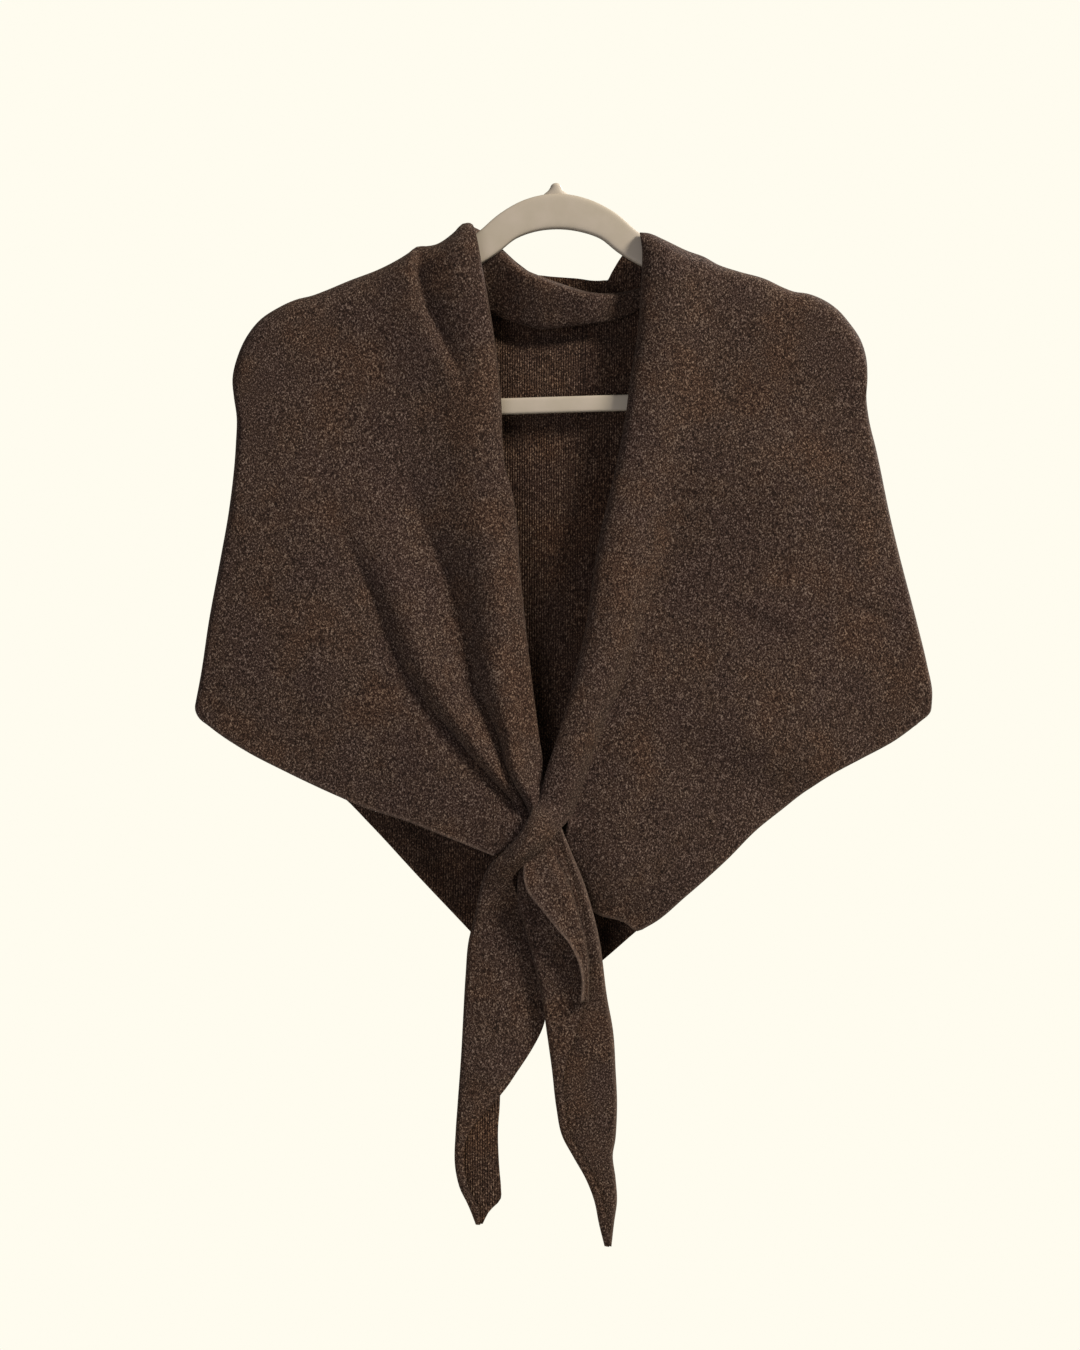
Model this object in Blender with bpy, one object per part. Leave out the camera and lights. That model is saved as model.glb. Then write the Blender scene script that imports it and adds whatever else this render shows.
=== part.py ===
"""Triangular wool shawl, knotted in front, on a flat clothes hanger.

Sizes are in millimetres. X is to the right as seen from the front, Z is up, and the front faces -Y.
The origin is the top of the hanger's hook boss. A depth is a distance in front of the hanger's middle plane.
"""

import bmesh
import bpy
import numpy as np

MM = 0.001

# Cloth wall, and the gap between stretches that touch.
WALL = 2.2
SEAM = 0.4

# Grid steps: columns and rows of each stretch.
FRONT_STEPS = (24, 19)
BACK_STEPS = (19, 27)
COLLAR_STEPS = (20, 15)
BAND_STEPS = (9, 12)
LOBE_STEPS = (7, 14)
TAIL_ROWS = 24
TAIL_FRONT_STEPS = 6
TAIL_TURN_STEPS = 7
TAIL_BACK_STEPS = 7
LAPEL_STEPS = 4
EDGE_STEPS = 4

# Outlines of the two fronts. Columns: x, z.
# outer: fold over the shoulder and down the side. lapel: inner edge. hem: free edge. gather: end at the knot.
# knot: x, z and depth of the point that the front is drawn to, and how much deeper its middle columns are.
# tuck: how far the front is pushed back behind the knot.
# folds: soft folds, drawn from their soft end to the knot, with the sharp side towards the lapel on the left
# front and towards the side on the right one. Columns: start x, start z, end x, end z, height, width of the
# gentle side at the start and at the end, width of the sharp side, valley beyond it as a share of the height,
# share of the height left at the end.
LEFT = {
    "outer": [
        (-61, -29), (-73, -37), (-86, -45), (-98, -47), (-125, -62), (-173, -81), (-210, -98),
        (-226, -124), (-229, -146), (-227, -178), (-232, -234), (-246, -311), (-256, -372),
    ],
    "lapel": [
        (-61, -29), (-57, -39), (-50, -79), (-43, -120), (-40, -154), (-38, -197), (-33, -217),
        (-26, -281), (-21, -326), (-12, -397), (-10, -418), (-10, -443),
    ],
    "hem": [(-256, -372), (-246, -387), (-220, -405), (-153, -437), (-105, -454), (-77, -465), (-44, -480)],
    "gather": [(-10, -443), (-24, -465), (-44, -480)],
    "knot": (-16, -452, 29, 9),
    "tuck": 0.0,
    "folds": [
        (-170, -252, -20, -448, 8.0, 60, 14, 7, 0.8, 0.2),
        (-128, -262, -18, -444, 6.0, 22, 7, 7, 0.7, 0.2),
        (-98, -40, -94, -130, 4.0, 16, 16, 9, 0.5, 0.0),
    ],
}
RIGHT = {
    "outer": [
        (60, -37), (75, -41), (95, -50), (130, -64), (169, -78), (188, -83), (208, -100),
        (219, -122), (221, -150), (222, -169), (237, -238), (256, -313), (266, -373),
    ],
    "lapel": [
        (60, -37), (62, -60), (61, -79), (53, -145), (46, -192), (31, -257), (20, -326),
        (1, -397), (-5, -415), (-11, -438),
    ],
    "hem": [
        (266, -373), (239, -398), (195, -421), (161, -445), (121, -481), (93, -506), (62, -530),
        (51, -527), (28, -519), (13, -497), (5, -468),
    ],
    "gather": [(-11, -438), (8, -450), (5, -468)],
    "knot": (0, -446, 26, 0),
    "tuck": 9.0,
    "folds": [(96, -246, 9, -448, 12.0, 34, 40, 9, 0.3, 1.0)],
}
# Shares of a fold's length: where it has its full height, and where it starts to fade again.
FOLD_RISE = 0.45
FOLD_FADE = 0.75

# How far from the knot the fronts swell out to it, and how many times shorter that is below the knot.
KNOT_REACH = 150.0
KNOT_REACH_BELOW = 2.2
# Where the tuck behind the knot starts, the height it deepens over, its middle and its half width.
TUCK_TOP = -452.0
TUCK_HEIGHT = 18.0
TUCK_MIDDLE = 8.0
TUCK_WIDTH = 20.0

# Lapel: radius its edge turns at, how far it stands out behind that edge and over what width.
LAPEL_ROLL = 7.0
LAPEL_SWELL = 5.0
LAPEL_SWELL_WIDTH = 32.0
# Where a lapel starts to flatten into the knot, as a share of the way down, and by how much.
LAPEL_FLAT_FROM = 0.75
LAPEL_FLAT = 0.4

# Half thickness of the folded sides, from neck to side corner. Columns: share of the outer fold, radius.
SIDE_FOLD = [(0.0, 15), (0.2, 12), (0.45, 11), (0.7, 9), (1.0, 8)]
# How far the cloth parts to each side of the hanger's arm where the arm leaves it at the neck, how far out
# from the neck that goes on, and the width over which the lapel's turn starts at the neck.
NECK_PARTING = 7.0
PARTING_WIDTH = 26.0
LAPEL_START = 20.0

# Free edges of the back, from each side corner to the point, and the neck edge. Columns: x, z.
BACK_HEM_LEFT = [
    (-256, -372), (-220, -402), (-182, -418), (-150, -439), (-111, -479), (-97, -499), (-61, -534), (-20, -578),
]
BACK_HEM_RIGHT = [
    (266, -373), (239, -396), (195, -419), (161, -443), (121, -479), (93, -504), (34, -554), (2, -579),
]
BACK_NECK = [(-61, -29), (-50, -38), (-39, -48), (-26, -60), (-12, -67), (35, -70), (46, -54), (60, -37)]
BACK_POINT = [(-20, -578), (-9, -588), (2, -579)]

# How far the back's edge lies inside the fronts' edge at the neck, and the room behind the collar.
BACK_INSET = 1.8
COLLAR_ROOM = 4.0
COLLAR_ROOM_LOW = -130.0
COLLAR_ROOM_HEIGHT = 50.0
# Share of the side fold's length beyond its corner over which the hem opens out, and the widths of its steps:
# the least one, and the most as a share of the back's width.
HEM_OPENING = 0.14
HEM_STEPS_WIDTH = 12.0
HEM_STEPS_SHARE = 0.3

# Soft hanging folds of the back. Columns: x at the shoulder, x at the hem, height, half width.
BACK_FOLDS = [
    (-168, -186, 5.0, 22), (-92, -88, 4.0, 18), (-18, -12, 5.0, 24), (74, 66, 4.0, 20), (160, 176, 5.0, 24),
]
BACK_FOLDS_TOP = -110.0
BACK_FOLDS_LENGTH = 400.0
BACK_FOLDS_FULL = 0.4
# How far the back hangs out behind the shoulders, and from which share of the folds' length on.
BACK_HANG = 3.0
BACK_HANG_FULL = 0.5
# Width from a side fold over which the back's folds start.
SIDE_CALM = 40.0

# Collar turned in at the neck. Columns: x, top z, low z, depth of its front, share of its full thickness.
COLLAR = [
    (-59, -50, -86, -7.7, 0.65), (-50, -46, -89, -7.7, 0.65), (-39, -48, -94, -6.5, 0.7), (-26, -60, -99, -2, 0.9),
    (-12, -67, -103, 1, 1.0), (4, -73, -102, 2, 1.0), (26, -78, -99, 1, 1.0), (36, -69, -97, -3, 0.8),
    (47, -51, -93, -7.7, 0.65), (62, -50, -84, -7.7, 0.65),
]
# Full thickness of the collar.
COLLAR_THICK = 10.0
# Section of the collar from its back edge over the top and round below. Columns: depth in front of its back
# edge, height as a share of top to low, and height in millimetres beyond that.
COLLAR_SECTION = [
    (0.0, 0.0, -5.0), (1.5, 0.0, -1.2), (4.0, 0.0, 0.0), (7.0, 0.0, -1.5), (8.5, 0.25, 0.0),
    (COLLAR_THICK, 0.5, 0.0), (9.5, 0.78, 0.0), (7.5, 1.0, 2.5), (4.5, 1.0, 0.0), (1.5, 1.0, 2.5),
]

# Band that crosses the knot. Columns: x, z, half width, depth of its crest, drop to its edges.
BAND = [
    (-3.2, -445.4, 11.6, 40, 4), (-9, -453, 11.0, 46, 5), (-19, -464, 10.0, 50, 6), (-30, -475, 9.5, 48, 5),
    (-40, -489, 8.2, 42, 4),
]
# Angle that the band turns through to each side of its crest, in degrees.
BAND_TURN = 85.0

# Tails, each a strip folded lengthwise with the fold at its left. Columns: fold x, fold z, far x, far z, width
# of the front half and of the back half as shares of fold to far, depth, how far the far side leans back.
LEFT_TAIL = [
    (-47.4, -485.1, -33.5, -495.0, 1.0, 0.8, 38.5, 3), (-52, -499, -27, -506, 1.0, 0.8, 31, 11),
    (-56, -519, -22, -526, 1.0, 0.7, 27, 9), (-61, -539, -16, -547, 1.0, 0.6, 24, 5),
    (-63, -562, -10, -567, 1.0, 0.5, 22, 4), (-65, -597, -9, -598, 1.0, 0.5, 21, 3),
    (-66, -616, -18, -616, 1.0, 0.62, 21, 2), (-67, -631, -28, -631, 1.0, 0.74, 21, 1),
    (-68, -644, -37, -644, 1.0, 0.93, 20, 0), (-69, -658, -40, -658, 0.69, 1.0, 20, 0),
    (-70, -672, -41, -671, 0.31, 1.0, 20, 0), (-70, -702, -40, -702, 0.18, 1.0, 19, 0),
    (-67, -714, -39, -714, 0.2, 1.0, 18, 0), (-62, -724, -40, -723, 0.25, 1.0, 18, 0),
    (-59, -731, -47, -730, 0.4, 1.0, 18, 0), (-56, -739, -52, -739, 0.6, 1.0, 18, 0),
]
RIGHT_TAIL = [
    (-24, -480, 2, -454, 0.8, 1.0, 30, 0), (-26, -492, 11, -476, 0.85, 1.0, 30.5, 0),
    (-26, -510, 20, -498, 0.85, 1.0, 31, 0), (-22, -526, 26, -518, 0.85, 1.0, 31, 0),
    (-16, -548, 31, -540, 0.8, 1.0, 30, 0), (-9, -579, 36, -578, 0.65, 1.0, 29, 0),
    (-6, -600, 40, -600, 0.45, 1.0, 29, 0), (-2, -629, 42, -629, 0.18, 1.0, 28, 0),
    (1, -655, 43, -655, 0.12, 1.0, 28, 0), (5, -675, 42, -677, 0.13, 1.0, 27, 0),
    (13, -690, 40, -690, 0.2, 1.0, 27, 0), (22, -706, 42, -706, 0.25, 1.0, 27, 0),
    (28, -722, 43, -722, 0.33, 1.0, 26, 0), (31, -737, 41, -737, 0.5, 1.0, 26, 0),
    (35, -753, 39, -754, 0.6, 1.0, 26, 0),
]
# Radius of the tails' fold, its most as a share of the tail's width, and the least width of a half beyond it.
TAIL_FOLD = 3.0
TAIL_FOLD_SHARE = 0.35
TAIL_LEAST = 1.0

# Turned-over edge of the right tail. Columns: x, z.
LOBE = {
    "top": [(-22, -479), (-7, -464)],
    "tip": [(17, -580), (22, -580)],
    "free": [
        (-22, -479), (-23, -492), (-21, -501), (-12, -513), (0, -528), (9, -539), (15, -551), (18, -568),
        (17, -580),
    ],
    "fold": [(-7, -464), (1, -482), (9, -499), (14, -515), (19, -533), (22, -551), (22, -580)],
}
# Depth of the turned-over edge down its length. Columns: share of its length, depth.
LOBE_DEPTH = [(0.0, 37.6), (0.2, 38.9), (0.6, 38.4), (1.0, 36.2)]
# Drop to its fold and the share of its width where that starts, and drop to its free edge and where that ends.
LOBE_FOLD_DROP = 1.8
LOBE_FOLD_FROM = 0.7
LOBE_FREE_DROP = 1.0
LOBE_FREE_TO = 0.5

# Middle line of the hanger's frame, once round from the hook boss over the left.
# Columns: x, z, width, thickness.
HANGER_TOP = (0.0, -20.3, 25.0, 10.0)
HANGER_LEFT = [
    (-19, -23.5, 23.5, 10), (-34, -30.6, 21, 10), (-48, -42, 20, 10), (-70, -57, 18, 10), (-120, -78, 18, 10),
    (-165, -95, 17, 10), (-196, -112, 16, 10), (-213, -132, 14, 9), (-214, -152, 12, 8), (-202, -163, 11.5, 8),
    (-180, -164, 11.5, 8), (-120, -162, 11.5, 8),
]
HANGER_RIGHT = [
    (21, -23.5, 23.5, 10), (37, -30.6, 21, 10), (51, -42, 20, 10), (72, -55, 18, 10), (120, -76, 18, 10),
    (160, -92, 17, 10), (190, -108, 16, 10), (205, -126, 14, 9), (206, -143, 12, 8), (196, -152, 11.5, 8),
    (176, -153.5, 11.5, 8), (110, -155, 11.5, 8),
]
# Steps along the frame and round its section, and the section's roundness: 1 is an ellipse and 0 a box.
HANGER_STEPS = 60
SECTION_STEPS = 10
SECTION_ROUNDNESS = 0.5
# Hook boss on top of the frame, its thickness and its steps. Columns: z, half width.
BOSS = [(-14, 12), (-8, 8.5), (-5.5, 5.6), (-3, 4.2), (-1, 3.2), (0, 1.4)]
BOSS_THICK = 7.0
BOSS_STEPS = 10

# Points nearer than this are one point of a skin.
WELD = 0.01


def hermite(at, values, where):
    """Values at the places in where of the smooth curve that passes through values at at."""
    at = np.asarray(at, float)
    values = np.asarray(values, float)
    where = np.clip(np.asarray(where, float), at[0], at[-1])
    slope = np.gradient(values, at, axis=0)
    k = np.clip(np.searchsorted(at, where, side="right") - 1, 0, len(at) - 2)
    span = at[k + 1] - at[k]
    t = (where - at[k]) / span
    if values.ndim > 1:
        t, span = t[..., None], span[..., None]
    start = (2 * t**3 - 3 * t**2 + 1) * values[k] + (t**3 - 2 * t**2 + t) * span * slope[k]
    end = (3 * t**2 - 2 * t**3) * values[k + 1] + (t**3 - t**2) * span * slope[k + 1]
    return start + end


def lengths(table):
    """Length along a table of points up to each of them."""
    points = np.asarray(table, float)[:, :2]
    return np.concatenate([[0.0], np.cumsum(np.linalg.norm(np.diff(points, axis=0), axis=1))])


def curve(table, share):
    """Points at shares 0 to 1 of the length of the smooth curve through a table of points."""
    at = lengths(table)
    return hermite(at, table, np.asarray(share, float) * at[-1])


def even_rows(table, share):
    """Rows at shares 0 to 1 of a table whose rows are taken as evenly spaced."""
    return hermite(np.linspace(0, 1, len(table)), table, share)


def column(table, where):
    """The second column of a two-column table at the places in where of its first."""
    rows = np.asarray(table, float)
    return hermite(rows[:, 0], rows[:, 1], where)


def ease(x):
    """0 below 0, 1 above 1, and smooth between."""
    x = np.clip(x, 0.0, 1.0)
    return x * x * (3 - 2 * x)


def bell(x):
    """1 at 0, and falling smoothly to 0 on both sides in about 2."""
    return np.exp(-(x**2))


def patch(form, u, v):
    """In-plane points of a four-sided sheet, u across from start to end and v down from top to bottom."""
    top, bottom, start, end = form
    u1, v1 = u[..., None], v[..., None]
    corner = [curve(top, 0.0), curve(top, 1.0), curve(bottom, 0.0), curve(bottom, 1.0)]
    ruled = (1 - v1) * curve(top, u) + v1 * curve(bottom, u) + (1 - u1) * curve(start, v) + u1 * curve(end, v)
    twist = (1 - v1) * ((1 - u1) * corner[0] + u1 * corner[1]) + v1 * ((1 - u1) * corner[2] + u1 * corner[3])
    return ruled - twist


def turned_edge(radius, steps):
    """Insets of the rows that turn a quarter round an edge of the given radius."""
    turn = np.linspace(0.0, np.pi / 2, steps + 1)
    return radius * (1 - np.cos(turn))


def quarter(inset, radius):
    """Share of the full depth reached at an inset from an edge turned at a radius."""
    left = np.clip(1 - inset / radius, 0.0, 1.0)
    return np.sqrt(1 - left**2)


def fold_depth(folds, x, z):
    """Depth added by a table of folds at points x, z."""
    total = np.zeros_like(x)
    for x0, z0, x1, z1, height, gentle0, gentle1, sharp, valley, last in folds:
        along = np.array([x1 - x0, z1 - z0], float)
        length = np.hypot(*along)
        along /= length
        run = ((x - x0) * along[0] + (z - z0) * along[1]) / length
        off = (x - x0) * -along[1] + (z - z0) * along[0]
        gentle = gentle0 + (gentle1 - gentle0) * np.clip(run, 0, 1)
        ridge = bell(np.minimum(off, 0) / gentle)
        dip = -valley * bell(np.maximum(off - sharp, 0) / gentle)
        step = ease(off / sharp)
        shape = ridge * (1 - step) + dip * step
        fade = ease(run / FOLD_RISE) * (1 - (1 - last) * ease((run - FOLD_FADE) / (1 - FOLD_FADE)))
        total += height * fade * shape
    return total


def front_depth(shape, x, z, from_lapel, share):
    """Depth of a front's middle surface well inside its edges."""
    knot_x, knot_z, knot_depth, knot_rise = shape["knot"]
    knot_depth = knot_depth + knot_rise * ease(share / 0.5)
    reach = np.hypot(x - knot_x, np.where(z > knot_z, z - knot_z, KNOT_REACH_BELOW * (z - knot_z)))
    near = bell(reach / KNOT_REACH)
    tuck = shape["tuck"] * ease((TUCK_TOP - z) / TUCK_HEIGHT)
    base = column(SIDE_FOLD, share) - tuck * bell((x - TUCK_MIDDLE) / TUCK_WIDTH)
    lapel = LAPEL_SWELL * bell(from_lapel / LAPEL_SWELL_WIDTH) * (1 - near)
    return base + (knot_depth - tuck - base) * near + lapel + fold_depth(shape["folds"], x, z)


def neck_parting(from_neck):
    """Depth of the side fold's edge: open round the hanger's arm at the neck and closed further out."""
    return SEAM + NECK_PARTING * (1 - ease(from_neck / PARTING_WIDTH))


def front_grid(shape):
    """Middle surface of a front: columns from the lapel's turned edge to the hem, rows from fold to knot."""
    columns, rows = FRONT_STEPS
    outer, gather = lengths(shape["outer"])[-1], lengths(shape["gather"])[-1]
    lapel, hem = lengths(shape["lapel"])[-1], lengths(shape["hem"])[-1]
    turn = np.linspace(0, np.pi / 2, LAPEL_STEPS + 1)
    u = np.zeros((EDGE_STEPS + rows, LAPEL_STEPS + columns))
    v = np.zeros_like(u)
    from_fold = np.zeros_like(u)
    drop = np.zeros_like(u)
    for i in range(u.shape[1]):
        share = max(i - LAPEL_STEPS, 0) / (columns - 1)
        span = lapel * (1 - share) + hem * share
        turned = WALL / 2 + turned_edge(column(SIDE_FOLD, share), EDGE_STEPS)
        v[: EDGE_STEPS + 1, i] = turned / span
        v[EDGE_STEPS:, i] = np.linspace(turned[-1] / span, 1, rows)
        from_fold[:, i] = v[:, i] * span - WALL / 2
    for j in range(u.shape[0]):
        share = v[j, LAPEL_STEPS + 1]
        span = outer * (1 - share) + gather * share
        u[j, : LAPEL_STEPS + 1] = (WALL / 2 + turned_edge(LAPEL_ROLL, LAPEL_STEPS)) / span
        u[j, LAPEL_STEPS:] = np.linspace(u[j, LAPEL_STEPS], 1, columns)
        drop[j, : LAPEL_STEPS + 1] = LAPEL_ROLL * (1 - np.sin(turn))
    plane = patch((shape["outer"], shape["gather"], shape["lapel"], shape["hem"]), u, v)
    x, z = plane[..., 0], plane[..., 1]
    from_lapel = u * (outer * (1 - v) + gather * v)
    full = front_depth(shape, x, z, from_lapel, u)
    edge = neck_parting(from_lapel)
    flat = LAPEL_FLAT * ease((v - LAPEL_FLAT_FROM) / (1 - LAPEL_FLAT_FROM))
    drop *= ease(from_fold / LAPEL_START) * (1 - flat)
    depth = edge + (full - edge) * quarter(from_fold, column(SIDE_FOLD, u)) - drop
    return np.stack([x, -depth, z], axis=-1)


def back_folds(x, z):
    """How far the back's hanging folds stand out at points x, z."""
    down = np.clip((BACK_FOLDS_TOP - z) / BACK_FOLDS_LENGTH, 0, 1)
    total = BACK_HANG * ease(down / BACK_HANG_FULL)
    for x_top, x_hem, height, width in BACK_FOLDS:
        ridge = x_top + (x_hem - x_top) * down
        total = total + height * ease(down / BACK_FOLDS_FULL) * bell((x - ridge) / width)
    return total


def back_grid():
    """Middle surface of the back: columns from the left side to the right one, rows from neck to point."""
    columns, rows = BACK_STEPS
    left = LEFT["outer"] + BACK_HEM_LEFT[1:]
    right = RIGHT["outer"] + BACK_HEM_RIGHT[1:]
    fold_left = lengths(LEFT["outer"])[-1] / lengths(left)[-1]
    fold_right = lengths(RIGHT["outer"])[-1] / lengths(right)[-1]
    across = columns + 2 * EDGE_STEPS
    u = np.zeros((rows, across))
    v = np.repeat(np.linspace(0, 1, rows)[:, None], across, axis=1)
    from_side = np.zeros_like(u)
    for j in range(rows):
        share = v[j, 0]
        span = np.linalg.norm(curve(right, share) - curve(left, share))
        past = ease((share / fold_left - 1.0) / HEM_OPENING)
        inset = BACK_INSET * (1 - share)
        turned = turned_edge(column(SIDE_FOLD, min(share / fold_left, 1.0)), EDGE_STEPS)
        turned = turned + past * np.linspace(0, HEM_STEPS_WIDTH, EDGE_STEPS + 1)
        turned = np.minimum(turned, np.linspace(0, HEM_STEPS_SHARE, EDGE_STEPS + 1) * span)
        u[j, : EDGE_STEPS + 1] = (inset + turned) / span
        u[j, -EDGE_STEPS - 1 :] = 1 - (inset + turned[::-1]) / span
        u[j, EDGE_STEPS:-EDGE_STEPS] = np.linspace(u[j, EDGE_STEPS], u[j, -EDGE_STEPS - 1], columns)
        from_side[j] = np.minimum(u[j], 1 - u[j]) * span - inset
    plane = patch((BACK_NECK, BACK_POINT, left, right), u, v)
    x, z = plane[..., 0], plane[..., 1]
    side_share = v / (fold_left * (1 - u) + fold_right * u)
    radius = column(SIDE_FOLD, np.minimum(side_share, 1.0))
    room = COLLAR_ROOM * ease((z - COLLAR_ROOM_LOW) / COLLAR_ROOM_HEIGHT) * ease(from_side / radius[0, 0])
    full = radius + back_folds(x, z) * ease(from_side / SIDE_CALM) + room
    edge = neck_parting(v * lengths(left)[-1])
    edge = edge + (full - edge) * ease((side_share - 1.0) / HEM_OPENING)
    depth = edge + (full - edge) * quarter(from_side, radius)
    return np.stack([x, depth, z], axis=-1)


def collar_grid():
    """Middle surface of the collar: columns along the neck, rows round its section."""
    columns, rows = COLLAR_STEPS
    table = np.asarray(COLLAR, float)
    section = even_rows(COLLAR_SECTION, np.linspace(0, 1, rows))
    along = hermite(table[:, 0], table, np.linspace(table[0, 0], table[-1, 0], columns))
    x, top, low, front, thick = [along[None, :, k] for k in range(5)]
    depth = front + (section[:, None, 0] - COLLAR_THICK) * thick
    z = top + (low - top) * section[:, None, 1] + section[:, None, 2]
    return np.stack(np.broadcast_arrays(x, -depth, z), axis=-1)


def band_grid():
    """Middle surface of the knot's band: columns across it, rows along it."""
    columns, rows = BAND_STEPS
    along = curve(BAND, np.linspace(0, 1, rows))
    heading = np.gradient(along[:, :2], axis=0)
    heading /= np.linalg.norm(heading, axis=1)[:, None]
    across = np.stack([-heading[:, 1], heading[:, 0]], axis=1)
    turn = np.radians(np.linspace(-BAND_TURN, BAND_TURN, columns))
    offset = along[:, None, 2] * np.sin(turn)
    depth = along[:, None, 3] - along[:, None, 4] * (1 - np.cos(turn))
    x = along[:, None, 0] + across[:, None, 0] * offset
    z = along[:, None, 1] + across[:, None, 1] * offset
    return np.stack([x, -depth, z], axis=-1)


def tail_grid(table):
    """Middle surface of a tail: columns from the front half's edge round the fold to the back half's edge."""
    t = curve(table, np.linspace(0, 1, TAIL_ROWS))
    fold_x, fold_z, far_x, far_z, front, back, depth, lean = [t[:, None, k] for k in range(8)]
    width = np.hypot(far_x - fold_x, far_z - fold_z)
    radius = np.minimum(TAIL_FOLD, TAIL_FOLD_SHARE * width)
    turn = np.linspace(np.pi / 2, 3 * np.pi / 2, TAIL_TURN_STEPS)[None, :]
    arc = radius * (1 + np.cos(turn))
    front_out = np.maximum(front * width, radius + TAIL_LEAST) - radius
    back_out = np.maximum(back * width, radius + TAIL_LEAST) - radius
    front_part = radius + front_out * np.linspace(1, 0, TAIL_FRONT_STEPS + 1)[None, :-1]
    back_part = radius + back_out * np.linspace(0, 1, TAIL_BACK_STEPS + 1)[None, 1:]
    inset = np.concatenate([front_part, arc, back_part], axis=1)
    off = np.concatenate(
        [radius * np.ones_like(front_part), radius * np.sin(turn), -radius * np.ones_like(back_part)], axis=1,
    )
    share = inset / width
    x = fold_x + (far_x - fold_x) * share
    z = fold_z + (far_z - fold_z) * share
    return np.stack([x, -(depth + off - lean * share), z], axis=-1)


def lobe_grid():
    """Middle surface of the turned-over edge: columns from its free edge to its fold, rows down its length."""
    columns, rows = LOBE_STEPS
    u, v = np.meshgrid(np.linspace(0, 1, columns), np.linspace(0, 1, rows))
    plane = patch((LOBE["top"], LOBE["tip"], LOBE["free"], LOBE["fold"]), u, v)
    to_fold = LOBE_FOLD_DROP * ease((u - LOBE_FOLD_FROM) / (1 - LOBE_FOLD_FROM)) ** 2
    to_free = LOBE_FREE_DROP * (1 - ease(u / LOBE_FREE_TO))
    depth = column(LOBE_DEPTH, v) - to_fold - to_free
    return np.stack([plane[..., 0], -depth, plane[..., 1]], axis=-1)


def round_section():
    """Points once round a rounded rectangle one unit wide and thick: across, through."""
    turn = np.linspace(0, 2 * np.pi, SECTION_STEPS + 1)
    across = np.sign(np.cos(turn)) * np.abs(np.cos(turn)) ** SECTION_ROUNDNESS / 2
    through = np.sign(np.sin(turn)) * np.abs(np.sin(turn)) ** SECTION_ROUNDNESS / 2
    return across[:, None], through[:, None]


def hanger_frame():
    """Skin of the hanger's frame: columns once round the frame, rows once round its rounded section."""
    loop = np.array([HANGER_TOP] + HANGER_LEFT + HANGER_RIGHT[::-1] + [HANGER_TOP], float)
    at = lengths(loop)
    padded = np.concatenate([loop[-3:-1], loop, loop[1:3]])
    padded_at = np.concatenate([at[-3:-1] - at[-1], at, at[1:3] + at[-1]])
    along = hermite(padded_at, padded, np.linspace(0, at[-1], HANGER_STEPS + 1))
    closed = np.concatenate([along[-2:-1], along, along[1:2]])
    heading = closed[2:, :2] - closed[:-2, :2]
    heading /= np.linalg.norm(heading, axis=1)[:, None]
    outward = np.stack([-heading[:, 1], heading[:, 0]], axis=1)
    across, through = round_section()
    x = along[None, :, 0] + outward[None, :, 0] * along[None, :, 2] * across
    z = along[None, :, 1] + outward[None, :, 1] * along[None, :, 2] * across
    y = along[None, :, 3] * through
    return np.stack([x, y, z], axis=-1)


def boss_skin():
    """Skin of the hook boss: columns from its foot to its top, rows once round."""
    table = np.asarray(BOSS, float)
    height = np.linspace(table[0, 0], table[-1, 0], BOSS_STEPS + 1)
    half = hermite(table[:, 0], table[:, 1], height)
    turn = np.linspace(0, 2 * np.pi, SECTION_STEPS + 1)
    x = half[None, :] * np.cos(turn)[:, None]
    y = np.minimum(half, BOSS_THICK / 2)[None, :] * np.sin(turn)[:, None]
    return np.stack([x, y, np.broadcast_to(height, x.shape)], axis=-1)


def grid_mesh(points):
    """A sheet of faces through a grid of points."""
    rows, columns = points.shape[:2]
    work = bmesh.new()
    bmesh.ops.create_grid(work, x_segments=columns - 1, y_segments=rows - 1, size=1.0)
    for vert, point in zip(work.verts, points.reshape(-1, 3)):
        vert.co = point * MM
    for face in work.faces:
        face.smooth = True
    return work


def add_object(name, work, material):
    """Turns a finished bmesh into a named object with its own material."""
    mesh = bpy.data.meshes.new(name)
    work.to_mesh(mesh)
    work.free()
    part = bpy.data.objects.new(name, mesh)
    part.data.materials.append(material)
    bpy.context.scene.collection.objects.link(part)
    return part


def cloth(name, points, material):
    """A closed cloth wall around a middle surface given as a grid of points."""
    part = add_object(name, grid_mesh(points), material)
    wall = part.modifiers.new("Wall", "SOLIDIFY")
    wall.thickness = WALL * MM
    wall.offset = 0.0
    wall.use_even_offset = True
    wall.use_quality_normals = True


def skin(name, points, material):
    """A closed body from a grid of points that meets itself; open ends are capped."""
    work = grid_mesh(points)
    bmesh.ops.remove_doubles(work, verts=work.verts, dist=WELD * MM)
    bmesh.ops.holes_fill(work, edges=work.edges, sides=0)
    bmesh.ops.recalc_face_normals(work, faces=work.faces)
    return add_object(name, work, material)


def plain_material(name, colour, roughness):
    """A plain material of one colour."""
    material = bpy.data.materials.new(name)
    material.use_nodes = True
    shader = material.node_tree.nodes["Principled BSDF"]
    shader.inputs["Base Color"].default_value = (*colour, 1)
    shader.inputs["Roughness"].default_value = roughness
    return material


def wool(name):
    """Dark brown heather wool."""
    return plain_material(name, (0.068, 0.040, 0.030), 0.95)


def plastic(name):
    """Satin taupe moulded plastic."""
    return plain_material(name, (0.43, 0.38, 0.30), 0.45)


def make_body():
    """The stretches that lie over the hanger: both fronts, the back and the collar turned in at the neck."""
    cloth("left_front", front_grid(LEFT), wool("left_front_wool"))
    cloth("right_front", front_grid(RIGHT), wool("right_front_wool"))
    cloth("back_panel", back_grid(), wool("back_wool"))
    cloth("neck_roll", collar_grid(), wool("neck_roll_wool"))


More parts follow.
